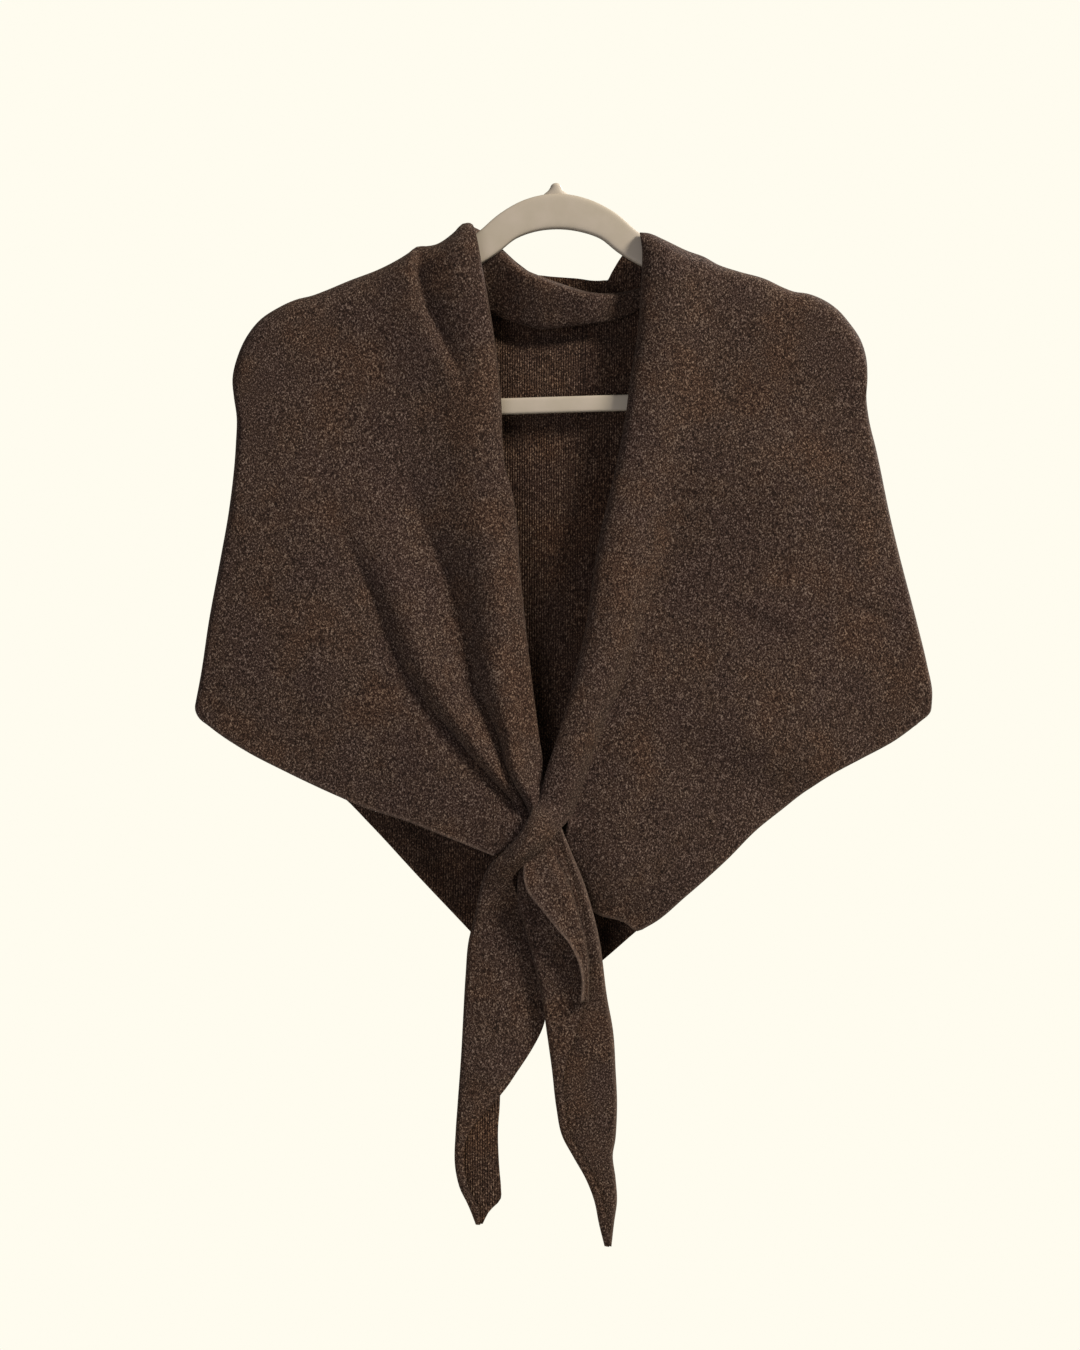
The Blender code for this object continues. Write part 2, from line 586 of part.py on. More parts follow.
def make_knot():
    """The band across the knot and the two tails, the right one with its turned-over edge."""
    cloth("knot_band", band_grid(), wool("band_wool"))
    cloth("left_tail", tail_grid(LEFT_TAIL), wool("left_tail_wool"))
    cloth("right_tail", tail_grid(RIGHT_TAIL), wool("right_tail_wool"))
    cloth("tail_lobe", lobe_grid(), wool("lobe_wool"))


def make_hanger():
    """The hanger's frame with its hook boss joined on."""
    frame = skin("hanger", hanger_frame(), plastic("hanger_plastic"))
    boss = skin("hook_boss", boss_skin(), plastic("boss_plastic"))
    boss.hide_render = True
    boss.display_type = "WIRE"
    join = frame.modifiers.new("Boss", "BOOLEAN")
    join.operation = "UNION"
    join.solver = "EXACT"
    join.object = boss


for old in list(bpy.data.objects):
    bpy.data.objects.remove(old, do_unlink=True)

make_body()
make_knot()
make_hanger()
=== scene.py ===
"""Dark brown heather wool shawl, knotted in front, on a flat taupe hanger.

Sizes are in millimetres. X is to the right as seen from the front, Z is up, and the front faces -Y.
The origin is the top of the hanger's hook boss. A depth is a distance in front of the hanger's middle plane.
"""
import math

import bmesh
import bpy
import numpy as np
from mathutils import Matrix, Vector


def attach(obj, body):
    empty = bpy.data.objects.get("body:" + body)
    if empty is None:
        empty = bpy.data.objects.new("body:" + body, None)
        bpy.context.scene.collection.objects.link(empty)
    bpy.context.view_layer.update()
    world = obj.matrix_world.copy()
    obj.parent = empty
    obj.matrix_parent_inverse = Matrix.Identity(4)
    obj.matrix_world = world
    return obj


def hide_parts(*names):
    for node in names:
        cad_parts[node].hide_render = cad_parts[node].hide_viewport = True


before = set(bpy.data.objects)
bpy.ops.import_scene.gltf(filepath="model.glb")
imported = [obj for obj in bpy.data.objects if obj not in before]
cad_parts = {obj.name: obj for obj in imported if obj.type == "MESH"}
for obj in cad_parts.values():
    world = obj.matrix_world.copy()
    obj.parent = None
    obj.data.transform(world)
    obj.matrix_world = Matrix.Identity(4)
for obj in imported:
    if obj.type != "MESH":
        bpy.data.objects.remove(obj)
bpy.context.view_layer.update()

MM = 0.001

# Thickness of the felted wool.
WALL = 2.0

# Grid steps of the fronts and the back.
FRONT_COLUMNS = 132
FRONT_ROWS = 90
BACK_COLUMNS = 50
HEM_ROWS = 42
# Grid steps of the strips: rows of the left tail and the right one, columns of the right one's front half,
# of any back half, and round the fold.
LEFT_TAIL_ROWS = 88
RIGHT_TAIL_ROWS = 110
TAIL_FRONT_COLUMNS = 24
TAIL_BACK_COLUMNS = 14
TAIL_FOLD_STEPS = 9
# Grid steps of the other pieces: columns and rows.
LOBE_STEPS = (30, 80)
COLLAR_STEPS = (80, 44)
HANGER_STEPS = (240, 32)
BOSS_STEPS = (32, 32)
# Rows that turn round an edge, and columns of the cloth turned in behind a lapel.
TURN_STEPS = 6
RETURN_STEPS = 6
# Points nearer to each other than this are merged, on cloth and on the hanger.
CLOTH_MERGE = 0.02
HANGER_MERGE = 0.005

# Outlines of the two fronts. Columns: x, z. outer: fold over the shoulder and down the side. lapel: inner
# edge. hem: free edge. gather: end at the knot.
LEFT = {
    "outer": [
        (-58.5, -34.5), (-60.5, -30.5), (-64.5, -30), (-73, -37), (-86, -45), (-93, -46), (-98, -46),
        (-105, -51), (-125, -62), (-147, -70.5), (-165, -78), (-173, -81), (-185, -84), (-198, -90),
        (-210, -98), (-219, -109), (-226, -124), (-229.5, -140), (-228.5, -152), (-226.5, -166),
        (-227, -185), (-232, -234), (-238, -268), (-246, -311), (-252, -351), (-256, -372),
    ],
    "lapel": [
        (-58.5, -34.5), (-57, -41), (-53.5, -60), (-50, -79), (-43.5, -120), (-40, -154), (-38.5, -190),
        (-37, -204), (-33, -217), (-26, -281), (-21.4, -326), (-12.5, -397), (-10, -415), (-10.5, -428),
        (-11, -443),
    ],
    "hem": [
        (-256, -372), (-254, -380), (-246, -387), (-220, -404.5), (-192, -419), (-153, -437), (-134, -445),
        (-105, -454), (-77, -465), (-44, -478),
    ],
    "gather": [(-11, -443), (-24, -465), (-44, -478)],
}
RIGHT = {
    "outer": [
        (60, -37), (66, -37.5), (75, -41), (95, -50), (104, -53), (115, -59), (130, -64), (148, -69),
        (163, -76), (170, -78.5), (178, -79.5), (188, -83), (199, -90), (208, -100), (216, -112),
        (220, -125), (220.8, -137), (220, -152), (222, -169), (227, -190), (237, -238), (244, -267),
        (256, -313), (263.5, -344), (267, -363), (266.5, -373),
    ],
    "lapel": [
        (60, -37), (62, -50), (62, -60), (61, -79), (59, -106), (53, -145), (50.5, -165), (45.6, -192),
        (31, -257), (20, -326), (1, -397), (-5, -415), (-11, -438),
    ],
    "hem": [
        (266.5, -373), (264, -379), (258, -384), (239, -398), (218, -409), (195, -421), (175, -434),
        (161, -445), (142, -460), (121, -481), (93, -506), (66, -528), (57, -532), (49, -526), (28, -519),
        (13, -497), (5, -468),
    ],
    "gather": [(-11, -438), (8, -450), (5, -468)],
}
# Share of the right gather that runs on as the band of the knot, and share of the band's length over which
# it takes its own shape.
BAND_SHARE = 0.55
JOIN_SHARE = 0.05

# Free edges of the back, from each side corner to the point, and the neck edge. Columns: x, z.
BACK_HEM_LEFT = [
    (-256, -372), (-251, -379), (-240, -388), (-220, -402), (-182, -419), (-153, -437), (-134, -456),
    (-97, -496), (-61, -534), (-20, -578),
]
BACK_HEM_RIGHT = [
    (266.5, -373), (262, -380), (239, -396), (195, -419), (161, -443), (121, -479), (93, -504), (57, -534),
    (34, -554), (2, -579),
]
BACK_NECK = [
    (-58.5, -34.5), (-50, -38), (-39, -48), (-26, -60), (-16, -66.5), (-8, -67.6), (12, -68.5),
    (31, -69.6), (36, -68.5), (40, -62), (46, -52), (53, -43), (60, -37),
]
BACK_POINT = [(-20, -578), (-9, -589), (2, -579)]

# Room that the back leaves for the collar: how much, the height where it starts, the height over which it
# comes, and how far in from the sides it is all there.
COLLAR_ROOM = 4.0
COLLAR_ROOM_LOW = -130.0
COLLAR_ROOM_HEIGHT = 50.0
COLLAR_ROOM_SIDE = 12.0

# Below the side corners the back's free edges open out: over what share of the side's length, the width of
# the rows along the edge, and the largest share of the cloth's width that they take.
HEM_OPENING = 0.14
HEM_STEPS_WIDTH = 12.0
HEM_STEPS_SHARE = 0.3

# Soft hanging folds of the back. Columns: x at the shoulder, x at the hem, height, half width, z of the
# start.
BACK_FOLDS = [
    (-172, -196, 8.0, 20, -100), (-110, -84, 6.5, 17, -190), (-34, -26, 8.0, 22, -130),
    (66, 40, 6.0, 18, -220), (128, 104, 7.5, 21, -120), (196, 206, 6.0, 16, -170),
    (-140, -144, 3.0, 9, -260), (14, 18, 3.5, 10, -300),
]
# Height of the shoulder and length down to the hem, for those two columns, and the length over which a fold
# rises.
BACK_FOLDS_TOP = -110.0
BACK_FOLDS_LENGTH = 400.0
BACK_FOLDS_RISE = 170.0
# How far the back hangs out as a whole, and the share of that length where it is all there.
BACK_HANG = 3.0
BACK_HANG_FULL = 0.5
# Distance from the sides over which the back's folds come.
SIDE_CALM = 40.0

# Hollow behind the collar: its depth, its low edge and how soft that is, its top, how softly it fades there
# and at its ends, its middle and its half width.
HOLLOW_DEPTH = 5.0
HOLLOW_LOW = -118.0
HOLLOW_EDGE = 11.0
HOLLOW_TOP = -62.0
HOLLOW_FADE = 34.0
HOLLOW_MIDDLE = 4.0
HOLLOW_WIDTH = 74.0

# Radius of the lapels' rolled edge, the largest share of a front's width that it takes, and the width of
# the cloth turned in behind it.
LAPEL_ROLL = 7.0
LAPEL_ROLL_SHARE = 0.2
LAPEL_RETURN = 26.0
# How far below the shoulder the turned-in cloth starts, and over what length the roll comes.
RETURN_START = 26.0
LAPEL_START = 20.0
# Near the knot the roll is pressed flatter: by what share, from what share of its length, and over what
# share.
LAPEL_FLAT = 0.6
LAPEL_FLAT_FROM = 0.75
LAPEL_FLAT_LENGTH = 0.2
# How far a lapel swells behind its edge, how far in it swells most, and over what width.
LAPEL_SWELL = 7.0
LAPEL_SWELL_INSET = 19.0
LAPEL_SWELL_WIDTH = 22.0

# The points that the fronts are drawn to: x, z, depth, and how much deeper they are away from the lapel.
LEFT_KNOT = (-16, -452, 25, 4)
RIGHT_KNOT = (0, -446, 30, 0)
# Share of a front's width where that further depth is all there.
KNOT_RISE_FULL = 0.5
# How far from the knot the fronts swell out to it, how many times shorter that is below the knot, and the
# height over which it changes.
KNOT_REACH = 150.0
KNOT_REACH_BELOW = 2.2
KNOT_REACH_EASE = 110.0
# Tuck of the right front behind the knot: depth, where it starts, the height it deepens over, middle,
# width.
KNOT_TUCK = 9.0
TUCK_TOP = -452.0
TUCK_HEIGHT = 18.0
TUCK_MIDDLE = 8.0
TUCK_WIDTH = 20.0
# How far the neck parts round the hanger's arm, and the length over which it closes.
NECK_PARTING = 7.0
PARTING_WIDTH = 26.0

# Half thickness of the folded sides, from neck to side corner. Columns: share of the outer fold, radius.
SIDE_FOLD = [(0.0, 15), (0.2, 12), (0.45, 11), (0.7, 9), (1.0, 8)]

# Folds in the fronts. A fold's crest is its path, with the gentle side on the right as seen along the path
# and the sharp side on its left. Sizes at its start and end: height, widths of the gentle and of the sharp
# side, depth of the valley beyond the sharp side as a share of the height, and width of that valley. rise
# and fade are the shares of its length where it is all there and where it starts to go; one past 1 keeps it
# to its end.
LEFT_FOLDS = {
    "lapel_fold": {
        "path": [
            (-13, -452), (-17.5, -439.6), (-24.5, -425.4), (-29.5, -411), (-31, -396.9), (-34, -382.6),
            (-37.5, -368.4), (-41.3, -354), (-42, -325.6), (-43.5, -297), (-48.5, -268.6), (-58.4, -240),
            (-67, -211.6), (-74, -183), (-82.7, -154.6),
        ],
        "height": (7.0, 7.5), "gentle": (8, 18), "sharp": (4, 36), "valley": (1.0, 0.8), "dip": (8, 18),
        "rise": 0.01, "fade": 0.5,
    },
    "middle_fold": {
        "path": [
            (-19, -446), (-27, -437), (-39, -423), (-52, -407), (-69, -382.6), (-79, -368.4), (-87.6, -354),
            (-99, -325.6), (-107.6, -297), (-118.3, -268.6), (-131, -240), (-141.8, -211.6), (-150, -190),
        ],
        "height": (5.5, 6.5), "gentle": (8, 18), "sharp": (4, 22), "valley": (0.9, 0.7), "dip": (8, 20),
        "rise": 0.06, "fade": 0.5,
    },
    "neck_fold": {
        "path": [
            (-104, -47), (-104, -66), (-102, -83), (-98, -97), (-91, -112), (-84, -128), (-76, -146),
            (-70, -165),
        ],
        "height": (3.5, 4.0), "gentle": (16, 26), "sharp": (6, 10), "valley": (2.0, 1.4), "dip": (9, 14),
        "rise": 0.001, "fade": 0.5,
    },
    "side_drop": {
        "path": [(-205, -410), (-202, -360), (-198, -300), (-190, -240), (-184, -180)],
        "height": (5.0, 6.0), "gentle": (70, 60), "sharp": (90, 90), "valley": (0.0, 0.0), "dip": (10, 10),
        "rise": 0.3, "fade": 0.7,
    },
}
RIGHT_FOLDS = {
    "lapel_ridge": {
        "path": [
            (51, -183), (47, -226), (43.5, -268.6), (40, -297), (36.3, -325.6), (30, -354), (20.7, -382.6),
            (11, -411), (5, -429), (0, -443),
        ],
        "height": (3.0, 5.0), "gentle": (20, 12), "sharp": (42, 13), "valley": (2.0, 2.0), "dip": (46, 30),
        "rise": 0.3, "fade": 2.0,
    },
    "lower_fold": {
        "path": [(78, -372), (64, -410), (50, -440), (38, -470)],
        "height": (1.2, 2.5), "gentle": (14, 14), "sharp": (12, 12), "valley": (0.8, 0.8), "dip": (14, 14),
        "rise": 0.4, "fade": 0.9,
    },
    "side_drop": {
        "path": [(174, -155), (167, -212), (163, -269), (158, -326), (151, -383), (135, -432)],
        "height": (8.0, 10.0), "gentle": (70, 55), "sharp": (80, 80), "valley": (0.0, 0.0), "dip": (10, 10),
        "rise": 0.25, "fade": 0.85,
    },
    "upper_crease": {
        "path": [(182, -323), (165, -316), (149, -308), (130, -300), (112, -292)],
        "height": (1.5, 1.5), "gentle": (9, 8), "sharp": (3, 3), "valley": (0.9, 0.8), "dip": (9, 8),
        "rise": 0.3, "fade": 0.6,
    },
    "side_crease": {
        "path": [(252, -316), (240, -308), (225, -301), (208, -292)],
        "height": (1.6, 1.6), "gentle": (9, 8), "sharp": (3, 3), "valley": (0.9, 0.8), "dip": (9, 8),
        "rise": 0.3, "fade": 0.6,
    },
}

# Share of a fold's length over which the width of its sharp side changes, and the shortest share it fades
# over.
SHARP_SHARE = 0.8
SHORTEST_FADE = 0.01

# Slight waviness of the soft cloth: heights of the long and of the short waves, and for each wave the
# lengths across and down in which it turns once round, each divided by a circle's 2 pi, and where it
# starts.
LONG_WAVE_HEIGHT = 0.45
LONG_WAVES = [(31, 47, 0.0), (-53, 39, 1.3)]
SHORT_WAVE_HEIGHT = 0.35
SHORT_WAVES = [(13, -19, 0.7), (29, 15, 0.0)]

# Collar turned in at the neck. Columns: x, top z, low z, depth of its front, thickness as a share of the
# section's own.
NECK_ROLL = [
    (-59, -50, -86, -7.7, 0.65), (-50, -46, -89, -7.7, 0.65), (-39, -48, -94, -4.5, 0.8),
    (-26, -60, -99, 3, 1.1), (-12, -67, -103, 7.5, 1.25), (4, -73, -102, 8.5, 1.25),
    (26, -79, -99, 7.5, 1.25), (38, -79, -97, 1.5, 1.0), (50, -77, -93, -6, 0.7),
    (62, -74, -86, -7.7, 0.65),
]
# Section of the collar from its back edge over the top and round below. Columns: depth in front of its back
# edge, share of the way from top to low, and height beyond that.
NECK_SECTION = [
    (0.0, 0.0, -5.0), (1.5, 0.0, -1.2), (5.0, 0.0, 0.0), (9.5, 0.02, -1.0), (12.0, 0.14, 0.0),
    (11.0, 0.36, 0.0), (8.8, 0.66, 0.0), (6.0, 0.94, 0.0), (4.0, 1.0, 0.0), (1.5, 1.0, 2.5),
]
# Depth in that section of the face that the collar's own depths are given for.
NECK_SECTION_FACE = 11.0

# Strips folded lengthwise with the fold at their left. The first runs from the right front over the knot
# and down as the left tail. Columns: fold x, fold z, far x, far z, width of the front half and of the back
# half as shares of fold to far, depth, how far the far side leans back, how far the front half is crowned.
LEFT_TAIL = [
    (-11, -437, 8, -450, 1.0, 0.7, 34, 0, 3), (-18, -450, -2, -463, 1.0, 0.7, 39, 0, 6),
    (-26.5, -464, -13, -474, 1.0, 0.7, 41, 0, 7), (-37, -476, -23, -483, 1.0, 0.75, 39, 1, 6),
    (-47, -486, -31, -493, 1.0, 0.8, 36, 3, 3), (-52, -499, -27, -506, 1.0, 0.8, 31, 8, 2),
    (-56, -519, -22, -526, 1.0, 0.7, 27, 9, 2), (-61, -539, -16, -547, 1.0, 0.6, 24, 5, 3),
    (-63, -562, -10, -567, 1.0, 0.5, 22, 4, 3), (-65, -597, -9, -598, 1.0, 0.5, 21, 3, 3),
    (-66, -616, -18, -616, 1.0, 0.62, 21, 2, 3), (-67, -631, -28, -631, 1.0, 0.74, 21, 1, 3),
    (-68, -644, -37, -644, 1.0, 0.93, 20, 0, 2), (-69, -658, -40, -658, 0.69, 1.0, 20, 0, 2),
    (-70, -672, -41, -671, 0.31, 1.0, 20, 0, 1), (-70, -702, -40, -702, 0.18, 1.0, 19, 0, 0),
    (-67, -714, -39, -714, 0.2, 1.0, 18, 0, 0), (-62, -724, -40, -723, 0.25, 1.0, 18, 0, 0),
    (-59, -731, -47, -730, 0.4, 1.0, 18, 0, 0), (-56, -739, -52, -739, 0.6, 1.0, 18, 0, 0),
]
RIGHT_TAIL = [
    (-24, -480, 2, -454, 0.8, 1.0, 30, 0, 0), (-26, -492, 11, -476, 0.85, 1.0, 30, 0, 0),
    (-26, -510, 20, -498, 0.85, 1.0, 30, 0, 0), (-22, -526, 26, -518, 0.85, 1.0, 30, 0, 0),
    (-16, -548, 31, -540, 0.8, 1.0, 30, 0, 0), (-9, -579, 36, -578, 0.65, 1.0, 29, 0, 0),
    (-6, -600, 40, -600, 0.45, 1.0, 29, 0, 0), (-2, -629, 42, -629, 0.18, 1.0, 28, 0, 0),
    (1, -655, 43, -655, 0.12, 1.0, 28, 0, 0), (5, -675, 42, -677, 0.13, 1.0, 27, 0, 0),
    (13, -690, 40, -690, 0.2, 1.0, 27, 0, 0), (22, -706, 42, -706, 0.25, 1.0, 27, 0, 0),
    (28, -722, 43, -722, 0.33, 1.0, 26, 0, 0), (31, -737, 41, -737, 0.5, 1.0, 26, 0, 0),
    (35, -753, 39, -754, 0.6, 1.0, 26, 0, 0),
]
# Radius of a strip's fold, the largest share of the strip's width that it takes, and the least width of a
# half beyond it.
TAIL_FOLD = 3.0
TAIL_FOLD_SHARE = 0.35
TAIL_LEAST = 1.0
# Share of the crown that is already passed at the fold.
CROWN_START = 0.12

# Turned-over edge of the right tail. Columns: x, z.
LOBE = {
    "top": [(-22, -479), (-7, -464)],
    "tip": [(17, -580), (22, -580)],
    "free": [
        (-22, -479), (-23, -492), (-21, -501), (-12, -513), (0, -528), (9, -539), (15, -551), (18, -568),
        (17, -580),
    ],
    "fold": [(-7, -464), (1, -482), (9, -499), (14, -515), (19, -533), (22, -551), (22, -580)],
}
# Depth of the lobe. Columns: share of its length from the top, depth.
LOBE_DEPTH = [(0.0, 33.0), (0.07, 38.5), (0.2, 41.5), (0.6, 40.6), (1.0, 36.6)]
# How far the lobe's free edge lifts, how far its fold turns back, and over what share of its width each
# does.
LOBE_EDGE_LIFT = 3.5
LOBE_EDGE_SHARE = 0.6
LOBE_FOLD_TURN = 7.5
LOBE_FOLD_SHARE = 0.3

# Hanger frame, once round from the hook boss over the left. Columns: x, z, width, thickness.
HANGER_TOP = (0.0, -20.3, 25.0, 10.0)
HANGER_LEFT = [
    (-19, -23.5, 23.5, 10), (-34, -30.6, 21, 10), (-48, -42, 20, 10), (-70, -57, 18, 10),
    (-120, -78, 18, 10), (-165, -95, 17, 10), (-196, -112, 16, 10), (-213, -132, 14, 9),
    (-214, -152, 12, 8), (-202, -163, 11.5, 8), (-180, -164, 11.5, 8), (-120, -162, 11.5, 8),
]
HANGER_RIGHT = [
    (21, -23.5, 23.5, 10), (37, -30.6, 21, 10), (51, -42, 20, 10), (72, -55, 18, 10), (120, -76, 18, 10),
    (160, -92, 17, 10), (190, -108, 16, 10), (205, -126, 14, 9), (206, -143, 12, 8), (196, -152, 11.5, 8),
    (176, -153.5, 11.5, 8), (110, -155, 11.5, 8),
]
# Hook boss on top of the frame. Columns: z, half width.
BOSS = [
    (-14, 12), (-8, 8.5), (-5.5, 5.6), (-3.6, 4.3), (-2, 3.6), (-1, 2.8), (-0.4, 1.8), (-0.1, 0.9), (0, 0.2),
]
# Largest thickness of the boss from front to back.
BOSS_DEPTH = 7.0
# Power of the hanger's rounded section: 1 is round, and 0 is square.
SECTION_SQUARENESS = 0.32

# Points along the path of a fold.
PATH_STEPS = 160

# Heather wool. Sizes of a fleck of light or dark hairs, of a clump of them and of a warm or cool patch.
# Real hairs are about 0.02 mm thick, too fine to show, so the flecks are drawn about 1 mm long.
FLECK_SIZE = 1.0417
CLUMP_SIZE = 4.762
PATCH_SIZE = 45.45
# Slant of the hairs in degrees, how much they are drawn out along it, and height of the nap.
HAIR_SLANT = 38.0
HAIR_STRETCH = 0.75
NAP_HEIGHT = 0.8
# Colours from the darkest hairs to the lightest, and of the cool and warm patches laid over them. Columns:
# place in the noise, sRGB colour.
FLECK_COLOURS = [(0.33, "#0E0806"), (0.44, "#2F221B"), (0.55, "#503D33"), (0.67, "#A08D7C")]
PATCH_COLOURS = [(0.38, "#6E6874"), (0.5, "#807C7A"), (0.62, "#8E7A64")]
PATCH_STRENGTH = 0.5
# Painted highlight along the free edges: width, colour, and how far it goes towards that colour.
EDGE_HIGHLIGHT_WIDTH = 3.0
EDGE_HIGHLIGHT_COLOUR = "#7E6C60"
EDGE_HIGHLIGHT_STRENGTH = 0.35
# Ribs of the inner face: spacing, and colours of their sides and their tops: painted shade and painted light.
RIB_SPACING = 1.745
RIB_SHADE_AND_LIGHT = [(0.1, "#9C968E"), (0.9, "#D2CCC4")]
# Double line down the middle of the back, seen inside: x at height 0, its slope, half the gap, half the
# width of a line, the height where it ends, the length over which it gains its full strength, that strength
# and colour.
LINE_X = 26.2
LINE_SLOPE = 0.0535
LINE_GAP = 1.2
LINE_WIDTH = 0.5
LINE_LOW = -300.0
LINE_FADE = 166.7
LINE_STRENGTH = 0.7
LINE_COLOUR = "#120C09"

# Moulded plastic of the hanger: size of its faint clouds, their colours, and height of its unevenness.
CLOUD_SIZE = 16.67
PLASTIC_COLOURS = [(0.3, "#ADA28F"), (0.7, "#B5A998")]
CLOUD_HEIGHT = 0.3

# Colour sockets of a mix node: its two inputs and its result.
MIX_FIRST = 6
MIX_SECOND = 7
MIX_RESULT = 2

# Floor: height, radius, colour and edges.
FLOOR_HEIGHT = -930.0
FLOOR_RADIUS = 460.0
FLOOR_COLOUR = "#DDD8CA"
FLOOR_EDGES = 96

# Photo: millimetres a pixel, the pixel of the origin, and the size in pixels.
PIXEL = 0.7125
ORIGIN_PIXEL = (556, 183)
PHOTO_SIZE = (1080, 1350)
# Camera: distance from the hanger's middle plane, and height of its sensor.
CAMERA_DISTANCE = 2600.0
SENSOR_HEIGHT = 24.0

# Lights. Columns: name, direction from the shawl, distance, size, power in watts, colour. The photo's
# shadows fall to the left, so the key light stands at the upper right.
LIGHTS = [
    ("key", (1.0, -0.72, 0.95), 3600.0, 900.0, 156.0, "#FFF8EE"),
    ("fill", (-0.4, -1.0, -0.05), 2200.0, 1000.0, 12.0, "#F6F4FF"),
    ("back", (0.9, 0.7, 0.8), 1900.0, 700.0, 42.0, "#FFFFFF"),
]
# Pixel of the photo that all the lights look at.
LIT_PIXEL = (540, 650)
# Surroundings: the colour seen behind the shawl, and the colour and strength of the light that they cast.
SEEN_COLOUR = "#FFFCEF"
CAST_COLOUR = "#F4F2F0"
CAST_STRENGTH = 0.19


def hermite(at, values, where):
    """Values at the places in where of the smooth curve that passes through values at at."""
    at = np.asarray(at, float)
    values = np.asarray(values, float)
    where = np.clip(np.asarray(where, float), at[0], at[-1])
    slope = np.gradient(values, at, axis=0)
    k = np.clip(np.searchsorted(at, where, side="right") - 1, 0, len(at) - 2)
    span = at[k + 1] - at[k]
    t = (where - at[k]) / span
    if values.ndim > 1:
        t, span = t[..., None], span[..., None]
    start = (2 * t**3 - 3 * t**2 + 1) * values[k] + (t**3 - 2 * t**2 + t) * span * slope[k]
    end = (3 * t**2 - 2 * t**3) * values[k + 1] + (t**3 - t**2) * span * slope[k + 1]
    return start + end


def lengths(table):
    """Length along a table of points up to each of them."""
    points = np.asarray(table, float)[:, :2]
    return np.concatenate([[0.0], np.cumsum(np.linalg.norm(np.diff(points, axis=0), axis=1))])


def curve(table, share):
    """Points at shares 0 to 1 of the length of the smooth curve through a table of points."""
    if isinstance(table, tuple):
        return joined_curve(table, share)
    at = lengths(table)
    return hermite(at, table, np.asarray(share, float) * at[-1])


def joined_curve(parts, share):
    """Points along two tables end to end: (first table, second table, share at which they meet)."""
    first, second, meet = parts
    share = np.asarray(share, float)
    before = curve(first, np.clip(share / meet, 0, 1))
    after = curve(second, np.clip((share - meet) / (1 - meet), 0, 1))
    return np.where((share <= meet)[..., None], before, after)


def column(table, where):
    """The second column of a two-column table at the places in where of its first."""
    rows = np.asarray(table, float)
    return hermite(rows[:, 0], rows[:, 1], where)


def ease(x):
    """0 below 0, 1 above 1, and smooth between."""
    x = np.clip(x, 0.0, 1.0)
    return x * x * (3 - 2 * x)


def bell(x):
    """1 at 0, and falling smoothly to 0 on both sides in about 2."""
    return np.exp(-(x**2))


def patch(form, u, v):
    """In-plane points of a four-sided sheet, u across from start to end and v down from top to bottom."""
    top, bottom, start, end = form
    u1, v1 = u[..., None], v[..., None]
    corner = [curve(top, 0.0), curve(top, 1.0), curve(bottom, 0.0), curve(bottom, 1.0)]
    ruled = (1 - v1) * curve(top, u) + v1 * curve(bottom, u) + (1 - u1) * curve(start, v) + u1 * curve(end, v)
    twist = (1 - v1) * ((1 - u1) * corner[0] + u1 * corner[1]) + v1 * ((1 - u1) * corner[2] + u1 * corner[3])
    return ruled - twist


def turned_edge(radius, steps):
    """Insets of the rows that turn a quarter round an edge of the given radius."""
    turn = np.linspace(0.0, np.pi / 2, steps + 1)
    return radius * (1 - np.cos(turn))


def quarter(inset, radius):
    """Share of the full depth reached at an inset from an edge turned at a radius."""
    left = np.clip(1 - inset / radius, 0.0, 1.0)
    return np.sqrt(1 - left**2)


def fold_depth(folds, x, z):
    """Depth added by a table of folds at points x, z."""
    total = np.zeros_like(x)
    for fold in folds.values():
        share = np.linspace(0, 1, PATH_STEPS)
        path = curve(fold["path"], share)
        heading = np.gradient(path, axis=0)
        heading /= np.linalg.norm(heading, axis=1)[:, None]
        away = np.stack([x.ravel(), z.ravel()], axis=1)[:, None, :] - path[None, :, :]
        nearest = np.argmin((away**2).sum(axis=2), axis=1)
        away = away[np.arange(len(nearest)), nearest]
        ahead = heading[nearest]
        off = (ahead[:, 0] * away[:, 1] - ahead[:, 1] * away[:, 0]).reshape(x.shape)
        past = np.abs(ahead[:, 0] * away[:, 0] + ahead[:, 1] * away[:, 1]).reshape(x.shape)
        run = share[nearest].reshape(x.shape)
        shares = {"height": run, "gentle": run, "sharp": ease(run / SHARP_SHARE), "valley": run, "dip": run}
        size = {k: fold[k][0] + (fold[k][1] - fold[k][0]) * shares[k] for k in shares}
        ridge = bell(np.minimum(off, 0) / size["gentle"])
        dip = -size["valley"] * np.exp(-np.maximum(off - size["sharp"], 0) / size["dip"])
        step = np.clip(off / size["sharp"], 0, 1) ** 2
        fading = ease((run - fold["fade"]) / max(1 - fold["fade"], SHORTEST_FADE))
        there = ease(run / fold["rise"]) * (1 - fading) * bell(past / size["gentle"])
        total += size["height"] * there * (ridge * (1 - step) + dip * step)
    return total


def waves(table, x, z):
    """Values from -1 to 1 of each wave in a table at points x, z."""
    return [np.sin(x / across + z / down + start) for across, down, start in table]


def unevenness(x, z):
    """Slight waviness of soft cloth at points x, z."""
    long_waves = sum(waves(LONG_WAVES, x, z))
    short_waves = math.prod(waves(SHORT_WAVES, x, z))
    return LONG_WAVE_HEIGHT * long_waves + SHORT_WAVE_HEIGHT * short_waves


